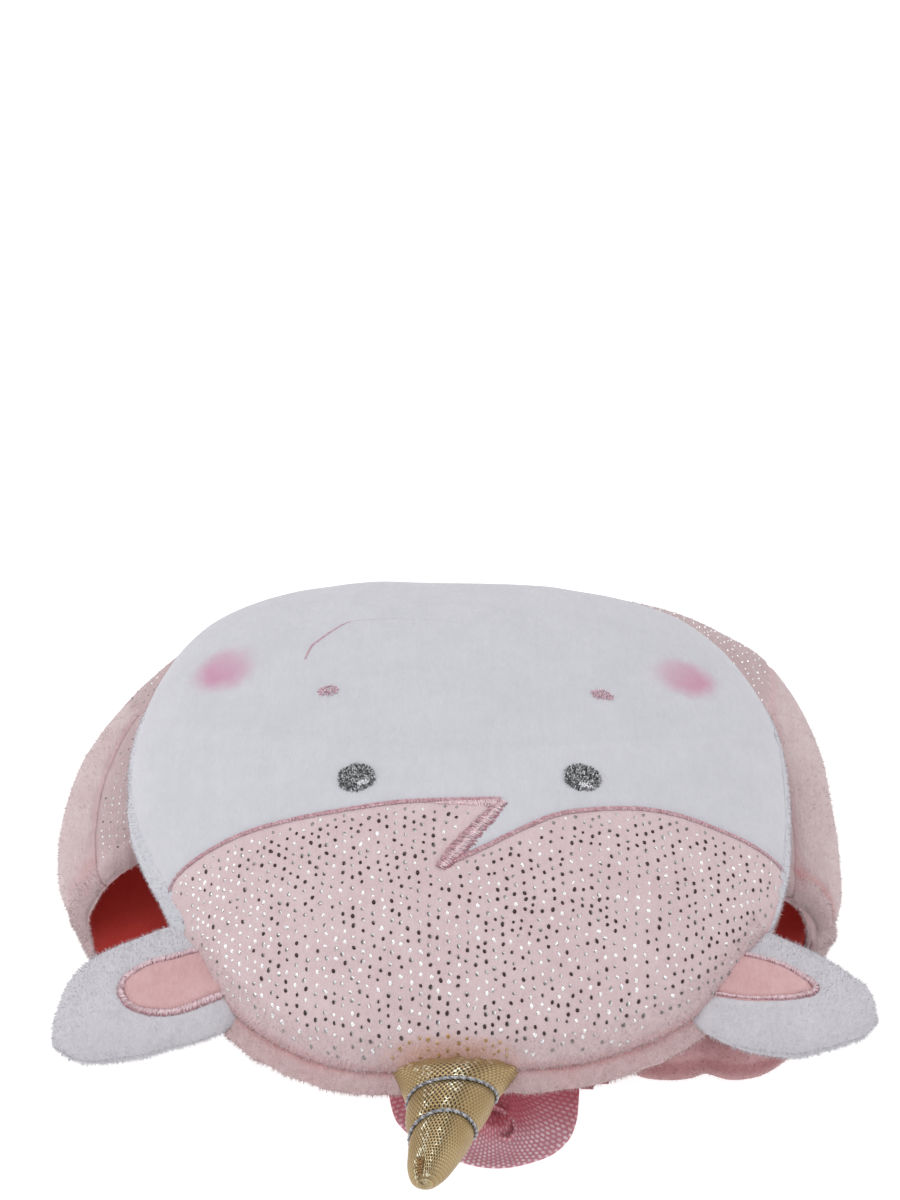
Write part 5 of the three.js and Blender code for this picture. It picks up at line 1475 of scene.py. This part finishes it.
r = 1.0
SEAM_R = SEAM_DEG + 3
front = sack_panel("sack_front_plush", "sack_front", SEAM_R, 180 - SEAM_DEG, M_SACKFOIL_SHADED, int(170 * r), int(56 * r), hem=0.9, fuzz=5000)
left = sack_panel("sack_side_left_plush", "sack_side_left", 180 - SEAM_DEG, 180 + SEAM_DEG, M_PINK, int(56 * r), int(92 * r), fuzz=7000)
back = sack_panel("sack_back_plush", "sack_back", 180 + SEAM_DEG, 360 - SEAM_DEG, M_PINK, int(130 * r), int(60 * r), hem=0.6)
right = sack_panel("sack_side_right_plush", "sack_side_right", -SEAM_DEG, SEAM_R, M_PINK, int(56 * r), int(92 * r), fuzz=7000)

# rounded bottom end, in one piece with the long panels' section


def side_seam_right(y):
    """Degrees up from the fold at which the right side panel ends; it runs out round the corner."""
    return SEAM_R * np.sqrt(np.clip((106 - np.maximum(y, SACK_JOIN_Y)) / (106 - SACK_JOIN_Y), 0, 1))


def side_seam_left(y):
    return SEAM_DEG * np.sqrt(np.clip((84 - np.maximum(y, SACK_JOIN_Y)) / (84 - SACK_JOIN_Y), 0, 1))


deg, total = even_degrees(0, 360, int(270 * r) + 1, 60.0)
deg = deg[:-1]
nv = int(44 * r)
yb = np.concatenate([[SACK_JOIN_Y - 1.2], SACK_JOIN_Y + (137 - SACK_JOIN_Y) * np.sin(np.linspace(0, math.pi / 2, nv - 1))])
Yg, D = np.meshgrid(yb, deg, indexing="ij")
G = sack_point(Yg, D, 0.0)
N = grid_normals(G, wrap=True)
centre = np.stack([sx(Yg), Yg - 10, (szb(Yg) + szt(Yg)) / 2], -1)
if ((G - centre) * N).sum() < 0:
    N = -N
edge = np.abs(Yg - SACK_JOIN_Y)
fold_deg = np.abs((D + 180) % 360 - 180)
seam_r = np.where(D > 180, SEAM_DEG, side_seam_right(Yg))
seam_l = np.where(D > 180, SEAM_DEG, side_seam_left(Yg))
gusset = np.minimum(np.abs(fold_deg - seam_r), np.abs(180 - fold_deg - seam_l))
side_seam = np.exp(-((gusset * 1.25 / 1.9) ** 2)) * smooth(134, 118, Yg)
back_seam = np.exp(-((edge / 1.9) ** 2)) * (N[..., 2] < 0.2) * 0
relief = sack_relief(G, "")
amount = relief + 0.12 * fbm(G, 4, 79, 2) - 0.85 * side_seam - 0.3 * smooth(SACK_JOIN_Y + 0.2, SACK_JOIN_Y - 1.0, Yg)
amount = amount * (1 - 0.75 * smooth(0.0, -0.6, N[..., 2])) * smooth(137.2, 132, Yg)
outer = G + N * amount[..., None]
outer[..., 2] = np.maximum(outer[..., 2], 0.4)
inner = sack_point(Yg, D, CLOTH)
nn = outer.shape[0] * outer.shape[1]
nu = outer.shape[1]
i = np.arange(nu)
j = (i + 1) % nu
V = np.concatenate([outer.reshape(-1, 3), inner.reshape(-1, 3), [outer[-1].mean(0)], [inner[-1].mean(0)]])
F = [grid_faces(nv, nu, wrap=True, flip=True), grid_faces(nv, nu, wrap=True, base=nn),
     np.stack([i, j, nn + j, nn + i], 1),
     np.stack([np.full(nu, 2 * nn), (nv - 1) * nu + j, (nv - 1) * nu + i], 1),
     np.stack([np.full(nu, 2 * nn + 1), nn + (nv - 1) * nu + i, nn + (nv - 1) * nu + j], 1)]
# painted shade along the seams, in the folds' hollows and on the inside
crease_shade_mark = np.clip(0.34 * side_seam + 0.35 * np.clip(-relief - 0.35, 0, 1), 0, 1)
tone = np.concatenate([crease_shade_mark.ravel(), np.full(crease_shade_mark.size, 0.5), [0, 0.5]])
sack_bottom = make("sack_bottom_plush", V, F, M_SACKFOIL_SHADED, color=np.stack([tone] * 3, 1))
sack_bottom.data.materials.append(M_PINK)
mid_deg = np.degrees(np.arctan2(0, 1)) + D
plain = ((fold_deg < seam_r) | (180 - fold_deg < seam_l) | (D > 180)) & (Yg < 136)
idx = np.zeros(len(sack_bottom.data.polygons), np.int32)
cells = (nv - 1) * nu
idx[:cells] = plain[:-1].ravel()
sack_bottom.data.polygons.foreach_set("material_index", idx)
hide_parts("sack_bottom")
bottom_outer, bottom_N = outer, N

# lining, a loose bag inside the sack
deg, _ = even_degrees(0, 360, int(180 * r) + 1, 20.0)
deg = deg[:-1]
nv = int(48 * r)
kk = np.linspace(0, 1, nv)[:, None]
D = np.broadcast_to(deg[None], (nv, len(deg)))
y0 = mouth_y(D) + 2.0 + 7.0 * np.exp(-((((D + 180) % 360 - 182) / 34.0) ** 2))
Yg = y0 + (126 - y0) * kk
loose = 2.9 + 0.9 * smooth(0, 0.1, kk) + curl(D, Yg - y0) * np.abs(np.cos(np.radians(D)))
base = sack_point(Yg, D, loose, lambda x, y: 7.8)
folds = noise(np.stack([base[..., 0], base[..., 1] * 0.35, base[..., 2]], -1), 15, 91) * 1.4 + noise(np.stack([base[..., 0], base[..., 1] * 0.5, base[..., 2]], -1), 6.5, 92) * 0.7
folds = np.abs(folds) * smooth(0.0, 0.05, kk)
outer = sack_point(Yg, D, loose + folds, lambda x, y: 7.8)
inner = sack_point(Yg, D, loose + folds + 0.7, lambda x, y: 7.8)
nu = len(deg)
nn = nv * nu
i = np.arange(nu)
j = (i + 1) % nu
V = np.concatenate([outer.reshape(-1, 3), inner.reshape(-1, 3), [outer[-1].mean(0)], [inner[-1].mean(0)]])
F = [grid_faces(nv, nu, wrap=True, flip=True), grid_faces(nv, nu, wrap=True, base=nn),
     np.stack([i, j, nn + j, nn + i], 1),
     np.stack([np.full(nu, 2 * nn), (nv - 1) * nu + j, (nv - 1) * nu + i], 1),
     np.stack([np.full(nu, 2 * nn + 1), nn + (nv - 1) * nu + i, nn + (nv - 1) * nu + j], 1)]
lining = make("lining_bag", V, F, M_LINING)
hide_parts("lining")

# foil dots on the sack's front and bottom


def dots_on_grid(name, G, N, seed, keep_fn, pitch=(3.1, 3.6), pale=None, size=(0.46, 0.60), lift=None):
    """Dots over a grid surface, by its own lengths."""
    lu = np.linalg.norm(np.diff(G, axis=1), axis=2).mean(0)
    lv = np.linalg.norm(np.diff(G, axis=0), axis=2).mean(1)
    su, sv = np.concatenate([[0], np.cumsum(lu)]), np.concatenate([[0], np.cumsum(lv)])
    g = cloth_grid(su[-1] / 2, sv[-1] / 2, pitch[0], pitch[1], seed) + [su[-1] / 2, sv[-1] / 2]
    g = g[(g[:, 0] > 1) & (g[:, 0] < su[-1] - 1) & (g[:, 1] > 1) & (g[:, 1] < sv[-1] - 1)]
    fu = np.interp(g[:, 0], su, np.arange(len(su)))
    fv = np.interp(g[:, 1], sv, np.arange(len(sv)))
    i, j = fu.astype(int), fv.astype(int)
    a, b = (fu - i)[:, None], (fv - j)[:, None]
    i1, j1 = np.minimum(i + 1, G.shape[1] - 1), np.minimum(j + 1, G.shape[0] - 1)

    def at(Q):
        return (Q[j, i] * (1 - a) + Q[j, i1] * a) * (1 - b) + (Q[j1, i] * (1 - a) + Q[j1, i1] * a) * b

    P, Nn = at(G), unit(at(N))
    T = np.tile([0.0, 1.0, 0.0], (len(P), 1))
    keep = keep_fn(P, g, su[-1], sv[-1])
    return dots(name, P[keep], Nn[keep], T[keep], seed, size=size, dark=0.5, pale=0 if pale is None else pale(P[keep]), lift=0 if lift is None else lift(P[keep]))


fo, fN = front[1], front[2]
rng = np.random.default_rng(33)
# painted reflection: dots paler and greyer further from the mouth, painted shade
dots_on_grid("foil_front", fo, fN, 21, lambda P, g, w, h: (g[:, 1] < h - 9) & (g[:, 0] > 3) & (g[:, 0] < w - 3),
                     pale=lambda P: np.clip(0.25 + 0.75 * smooth(5, 60, P[:, 1]), 0, 0.85))


def on_bottom(P, g, w, h):
    """Dots only on the upper face of the bottom end, between the two gussets."""
    dx = P[:, 0] - sx(P[:, 1])
    f = np.where(dx > 0, side_seam_right(P[:, 1]), side_seam_left(P[:, 1]))
    half = sw(P[:, 1]) * np.cos(np.radians(f)) ** (2 / SACK_M) - np.where(f > 2, 2.6, 0.5)
    return (P[:, 2] > (szt(P[:, 1]) + szb(P[:, 1])) / 2 + 1.0) & (np.abs(dx) < half) & (g[:, 1] > 0.5) & (g[:, 1] < h - 3)


# painted reflection: the dots greyed, and lighter on the right-hand side
dots_on_grid("foil_bottom", bottom_outer, bottom_N, 22, on_bottom, pale=lambda P: np.full(len(P), 0.85), lift=lambda P: np.where(P[:, 0] > 0, 0.5, 0.05))
P, Q = scatter(bottom_outer, bottom_N, int(6000 * MANY), 34, weight=(bottom_N[..., 2] > -0.3).astype(float), wrap=True)
fibres("sack_bottom_fibres", P, Q, F_PINK, 34, length=0.9, width=0.2, comb=(0, 0.3, -0.2), spread=0.5)

# ------------------------------------------------------------------ neck strip
c = curve_through(NECK, 10)
c = resample(c, 1.4)
nx = int(100 * r)
xs = np.linspace(*NECK_X, nx)
tt = unit(np.gradient(c, axis=0))
nn_ = np.stack([tt[:, 1], -tt[:, 0]], 1)
base = np.stack([np.broadcast_to(xs[None], (len(c), nx)), np.broadcast_to(c[:, 0:1], (len(c), nx)), np.broadcast_to(c[:, 1:2], (len(c), nx))], -1)
dirs = np.stack([np.zeros((len(c), nx)), np.broadcast_to(nn_[:, 0:1], (len(c), nx)), np.broadcast_to(nn_[:, 1:2], (len(c), nx))], -1)
side_in = np.minimum(xs - NECK_X[0], NECK_X[1] - xs)[None]
rel = (noise(base * [1, 0.3, 0.3], 9, 95) * 0.7 + noise(base * [1, 0.3, 0.3], 4, 96) * 0.3)
top = base + dirs * (1.25 + rel - 0.8 * np.exp(-((side_in / 1.5) ** 2)))[..., None]
low = base - dirs * (1.25 - 0.4 * rel)[..., None]
V, F = slab(top, low)
neck = make("flap_neck_plush", V, F, M_PINK)
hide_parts("flap_neck")

# ------------------------------------------------------------------ grab handle
n, m = ((200, 36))
out = resample(curve_through(HANDLE_OUTER, 12), 0.4)
inn = resample(curve_through(HANDLE_INNER, 12), 0.4)
u = np.linspace(0, 1, n)
O = np.stack([np.interp(u, np.linspace(0, 1, len(out)), out[:, k]) for k in range(2)], 1)
I = np.stack([np.interp(u, np.linspace(0, 1, len(inn)), inn[:, k]) for k in range(2)], 1)
w = np.linspace(0, 1, m)
XY = I[:, None] * (1 - w[None, :, None]) + O[:, None] * w[None, :, None]
drop = (XY[..., 1] + 79.6) * math.tan(math.radians(HANDLE_DROOP))
bend = np.sin(np.pi * u)[:, None]
zc = HANDLE_Z - WEB_T / 2 + drop + bend * (2.6 * (1 - w[None]) ** 3 - 1.2 * np.sin(np.pi * w)[None])
zc = zc + 0.9 * np.exp(-(((w[None] - 0.0) / 0.10) ** 2)) * bend
P = np.dstack([XY, zc])
N = grid_normals(P)
if N[..., 2].sum() < 0:
    N = -N
half = WEB_T / 2 * np.sqrt(np.clip(1 - (2 * w - 1) ** 12, 0.05, 1))[None, :, None]
wob = 0.25 * noise(P, 9, 101)[..., None]
V, F = slab(P + N * (half + wob), P - N * (half - wob))
long = np.linalg.norm(np.diff((O + I) / 2, axis=0), axis=1).cumsum()
U = np.concatenate([[0], long])[:, None] + 0 * w[None]
Wd = np.linalg.norm(O - I, axis=1)[:, None] * w[None]
uv = np.stack([w[None] * 25.0 + 0 * U, U * 1.25], -1).reshape(-1, 2)
lit = smooth(0.05, 0.6, w)[None] * 0.6 + 0.65 * smooth(-96, -108, P[..., 1])
lit = lit * (0.12 + 0.88 * smooth(-84, -101, P[..., 1]))
col = np.repeat(lit.reshape(-1)[:, None], 3, 1)
uv = np.stack([w[None] * 25.0 + 0 * U, U * 1.25], -1).reshape(-1, 2)
parts = [(V, F, np.vstack([col, col]), np.vstack([uv, uv]))]
# inside of the fold: the two inner edges meet in a shallow dish
k = np.linspace(0, 1, 60)
ia = np.stack([np.interp(0.02 + 0.96 * k, u, I[:, c]) for c in range(2)], 1)
zi = np.interp(0.02 + 0.96 * k, u, zc[:, 0])
centre = np.array([15.0, -85.0])
q = np.linspace(0, 1, 14)
D2 = ia[:, None] * (1 - q)[None, :, None] + centre * q[None, :, None]
dz = zi[:, None] * (1 - q)[None] + 6.2 * q[None] - 1.1 * np.sin(np.pi * q)[None]
dish = np.dstack([D2, dz - 0.35])
dn = grid_normals(dish)
if dn[..., 2].sum() < 0:
    dn = -dn
V2, F2 = slab(dish + dn * 0.5, dish - dn * 0.5)
uv2 = np.stack([-q[None] * 10 + 0 * k[:, None], 0 * q[None] + k[:, None] * 42], -1).reshape(-1, 2)
# painted shade: the dish takes the darkest tone
c2 = np.full((len(V2), 3), 0.10)
parts.append((V2, F2, c2, np.vstack([uv2, uv2])))
# the curl at its end, a small roll of the webbing's edge
t = np.linspace(0, 1, 90)
spiral = curve_through([(13.0, -93.6), (18.0, -94.6), (22.4, -98.4), (24.0, -102.8), (22.8, -106.4), (20.4, -107.2), (18.5, -105.5), (18.8, -103.3), (20.5, -102.7), (21.4, -104.1)], 10)
spiral = resample(spiral, 0.3)
tt3 = np.linspace(0, 1, len(spiral))
cz = 9.3 + 0.6 * np.sin(np.pi * tt3) - 1.2 * tt3
tape = 1.5 * (1 - 0.35 * tt3)
t2 = unit(np.gradient(spiral, axis=0))
n2 = np.stack([-t2[:, 1], t2[:, 0]], 1)
prof = 2 * np.pi * np.arange(12) / 12
ring = np.zeros((len(spiral), 12, 3))
ring[..., :2] = spiral[:, None] + n2[:, None] * (np.cos(prof) * 0.62)[None, :, None]
ring[..., 2] = cz[:, None] + np.sin(prof)[None] * tape[:, None]
V3, F3 = lofted(ring)
sl = np.concatenate([[0], np.cumsum(np.linalg.norm(np.diff(spiral, axis=0), axis=1))])
uv3 = np.stack([np.broadcast_to((prof * 0.9)[None], ring.shape[:2]), np.broadcast_to(sl[:, None] * 1.1, ring.shape[:2])], -1).reshape(-1, 2)
uv3 = np.vstack([uv3, [[0, 0], [0, 9]]])
c3 = np.full((len(V3), 3), 0.55)
parts.append((V3, F3, c3, uv3))
V, F, col = merge([p_[:3] for p_ in parts])
uv = np.vstack([p_[3] for p_ in parts])
handle = make("handle_webbing", V, F, M_WEB, uv=uv, color=col)
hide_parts("handle_loop")

# tab beside the handle: two folded layers
poly = np.array(TAB)
layers = []
for dx, z0, z1, shrink in ((0, 14.2, 15.2, 1.0), (0.6, 15.25, 16.4, 0.86)):
    p = resample(poly, 0.5, closed=True)
    c0 = p.mean(0)
    p = c0 + (p - c0) * shrink + [dx, 0.3 * dx]
    ring = [np.column_stack([c0 + (p - c0) * s, np.full(len(p), z)]) for s, z in ((0.94, z0), (1.0, z0 + 0.25), (1.0, z1 - 0.25), (0.94, z1))]
    G = np.array(ring)
    G[..., 2] += 0.15 * noise(G, 3, 111)
    layers.append(lofted(G))
V, F, _ = merge(layers)
tab = make("rim_tab_cloth", V, F, M_TAB)
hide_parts("rim_tab")

# ------------------------------------------------------------------ straps


def strap_mesh(side, rows):
    R = np.array(rows, float)
    d = np.linalg.norm(np.diff(R[:, :2], axis=0), axis=1)
    s = np.concatenate([[0], np.cumsum(d)])
    cols = [table([(s[i], R[i, k]) for i in range(len(R))], 0, 1) for k in range(6)]
    n = int(s[-1] / (1.3))
    t = np.linspace(0, s[-1], n)
    x, y, head, hw, zb, zt = (f(t) for f in cols)
    m = 92
    a = 2 * np.pi * (np.arange(m) + 0.5) / m
    nx, ny = -np.sin(np.radians(head)), np.cos(np.radians(head))
    cap = np.sqrt(np.clip(1 - np.clip(1 - t / 5.0, 0, 1) ** 2, 0.02, 1)) * np.sqrt(np.clip(1 - np.clip(1 - (s[-1] - t) / 4.0, 0, 1) ** 2, 0.02, 1))
    U = (hw * (0.55 + 0.45 * cap))[:, None] * pw(np.cos(a), 2 / 3)[None]
    zz = (zb + zt)[:, None] / 2 + (zt - zb)[:, None] / 2 * cap[:, None] * np.sign(np.sin(a))[None] * np.minimum(1, np.abs(np.sin(a)) ** (2 / 3) * 1.06)[None]
    G = np.stack([x[:, None] + nx[:, None] * U, y[:, None] + ny[:, None] * U, zz], -1)
    N = grid_normals(G, wrap=True)
    c = np.stack([x, y, (zb + zt) / 2], -1)[:, None]
    if ((G - c) * N).sum() < 0:
        N = -N
    seam = np.exp(-((np.abs(np.sin(a)) / 0.16) ** 2))[None]
    amount = fbm(G, 15, 121, 2) * 0.5 - 0.8 * seam + noise(np.stack([G[..., 0], G[..., 1], G[..., 2] * 0.2], -1), 4.5, 122) * 0.35 * seam ** 0.5 + 0.15 * fbm(G, 4, 123, 2)
    amount = amount * smooth(-0.75, -0.2, N[..., 2])
    G = G + N * amount[..., None]
    G[..., 2] = np.maximum(G[..., 2], 0.02)
    V, F = lofted(G)
    # painted shade along the side seam and in the hollows
    tone = np.clip(0.7 * seam + np.clip(-fbm(G, 15, 121, 2) - 0.2, 0, 1) * 0.8, 0, 1) * np.ones(G.shape[:2])
    tone = np.concatenate([tone.ravel(), [0.5, 0.5]])
    Nn = grid_normals(G, wrap=True)
    if ((G - c) * Nn).sum() < 0:
        Nn = -Nn
    P, Q = scatter(G, Nn, int(9000 * MANY), 171 + len(side), weight=(Nn[..., 2] > -0.4).astype(float), wrap=True)
    fibres(f"strap_pad_{side}_fibres", P, Q, F_STRAP_SHADED, 171 + len(side), length=1.1, width=0.22, spread=0.45)
    o = make(f"strap_pad_{side}_plush", V, F, M_STRAP_SHADED, color=np.stack([tone] * 3, 1))
    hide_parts(f"strap_pad_{side}")
    return o


def tail_mesh(side, tail):
    a, b = np.array(tail[0]), np.array(tail[1])
    d = (b - a) / np.linalg.norm(b - a)
    nrm = np.array([-d[1], d[0]])
    L = np.linalg.norm(b - a)
    n, m = 50, 26
    t = np.linspace(0, 1, n)
    w = np.linspace(-1, 1, m)
    z = table(TAIL_Z, 0, 1)(t)
    P = np.zeros((n, m, 3))
    P[..., :2] = a + (d * L)[None, None] * t[:, None, None] + nrm[None, None] * (w * WEB_W / 2)[None, :, None]
    P[..., 2] = z[:, None]
    half = WEB_T / 2 * np.sqrt(np.clip(1 - w**12, 0.06, 1))[None, :]
    top, low = P.copy(), P.copy()
    top[..., 2] += half
    low[..., 2] -= half
    V, F = slab(top, low)
    uv = np.stack([np.broadcast_to((w * WEB_W / 2)[None], (n, m)), np.broadcast_to((t * L)[:, None], (n, m))], -1).reshape(-1, 2)
    col = np.full((len(V), 3), 0.75)
    o = make(f"strap_web_{side}_woven", V, F, M_WEB, uv=np.vstack([uv, uv]), color=col)
    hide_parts(f"strap_web_{side}")
    return o


strap_mesh("right", STRAP_RIGHT)
strap_mesh("left", STRAP_LEFT)
tails = [tail_mesh("right", TAIL_RIGHT), tail_mesh("left", TAIL_LEFT)]
for side in ("left", "right"):
    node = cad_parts[f"adjuster_{side}"]
    node.data.materials.clear()
    node.data.materials.append(M_PLASTIC)

# ------------------------------------------------------------------ mean row length of a grid


def across(G):
    """Mean length of a grid's rows, mm."""
    return float(np.linalg.norm(np.diff(G, axis=1), axis=2).sum(1).mean())


# ------------------------------------------------------------------ camera, light, floor
cam_data = bpy.data.cameras.new("camera")
cam_data.sensor_fit = "AUTO"
cam_data.sensor_width = 36.0
cam_data.lens = 3300.0 * 36.0 / 1200.0
cam_data.clip_start, cam_data.clip_end = 0.05, 50
cam = bpy.data.objects.new("camera", cam_data)
scene.collection.objects.link(cam)
eye = (np.array([0.0, -771.3, 979.3]) - ORIGIN) / 1000.0
right_v, up_v, fwd = np.array([1.0, 0.0, 0.0]), np.array([0.001, 0.7233, 0.6906]), np.array([0.001, 0.6906, -0.7233])
right_v = unit(np.cross(fwd, up_v))
up_v = unit(np.cross(right_v, fwd))
from mathutils import Matrix

cam.matrix_world = Matrix(((right_v[0], up_v[0], -fwd[0], eye[0]), (right_v[1], up_v[1], -fwd[1], eye[1]),
                           (right_v[2], up_v[2], -fwd[2], eye[2]), (0, 0, 0, 1)))
scene.camera = cam


def area(name, at, target, size, power, color=(1, 1, 1)):
    d = bpy.data.lights.new(name, "AREA")
    d.shape = "RECTANGLE"
    d.size, d.size_y = size
    d.energy = power
    d.color = color
    o = bpy.data.objects.new(name, d)
    scene.collection.objects.link(o)
    z = unit(np.array(at, float) - np.array(target, float))
    x = unit(np.cross([0, 1.0, 0.01], z))
    y = np.cross(z, x)
    o.matrix_world = Matrix(((x[0], y[0], z[0], at[0]), (x[1], y[1], z[1], at[1]), (x[2], y[2], z[2], at[2]), (0, 0, 0, 1)))
    return o


area("key", (-0.30, 0.35, 1.5), (0, 0, 0.05), (1.3, 0.9), 10.0)
area("fill_right", (1.3, -0.3, 0.9), (0, 0, 0.05), (0.9, 0.9), 4.0)
area("fill_left", (-1.4, -0.4, 0.8), (0, 0, 0.05), (0.9, 0.9), 4.0)
area("front", (0.0, -1.5, 0.9), (0, 0, 0.05), (1.2, 0.7), 1.6)

world = bpy.data.worlds.new("studio")
scene.world = world
world.use_nodes = True
wt = world.node_tree
wt.nodes.clear()
wo = wt.nodes.new("ShaderNodeOutputWorld")
wb = wt.nodes.new("ShaderNodeBackground")
wc = wt.nodes.new("ShaderNodeTexCoord")
ws = wt.nodes.new("ShaderNodeSeparateXYZ")
wr = wt.nodes.new("ShaderNodeValToRGB")
wt.links.new(wc.outputs["Generated"], ws.inputs[0])
wt.links.new(ws.outputs[2], wr.inputs[0])
wt.links.new(wr.outputs[0], wb.inputs[0])
wt.links.new(wb.outputs[0], wo.inputs[0])
ramp = wr.color_ramp
ramp.elements[0].position, ramp.elements[0].color = 0.0, (1, 1, 1, 1)
ramp.elements[1].position, ramp.elements[1].color = 1.0, (0.9, 0.9, 0.92, 1)
for pos, v in ((0.45, 1.0), (0.62, 0.35), (0.84, 0.35), (0.92, 0.9)):
    e = ramp.elements.new(pos)
    e.color = (v, v, v * 1.01, 1)
wb.inputs[1].default_value = 0.85

floor_look = Look("floor")
fine = floor_look.noise(floor_look.where(), 3.0, 2.0)
floor_mat = floor_look.surface(Base_Color=floor_look.mix(fine, (0.33, 0.33, 0.33), (0.35, 0.35, 0.35)), Roughness=0.9, Specular_IOR_Level=0.1,
                               Emission_Color=(1, 1, 1), Emission_Strength=0.86)
me = bpy.data.meshes.new("floor")
me.from_pydata([(-6, -6, 0), (6, -6, 0), (6, 6, 0), (-6, 6, 0)], [], [(0, 1, 2, 3)])
floor = bpy.data.objects.new("floor", me)
scene.collection.objects.link(floor)
me.materials.append(floor_mat)

scene.view_settings.view_transform = "Standard"
scene.view_settings.look = "None"
scene.view_settings.exposure = 0.0
scene.view_settings.gamma = 1.0
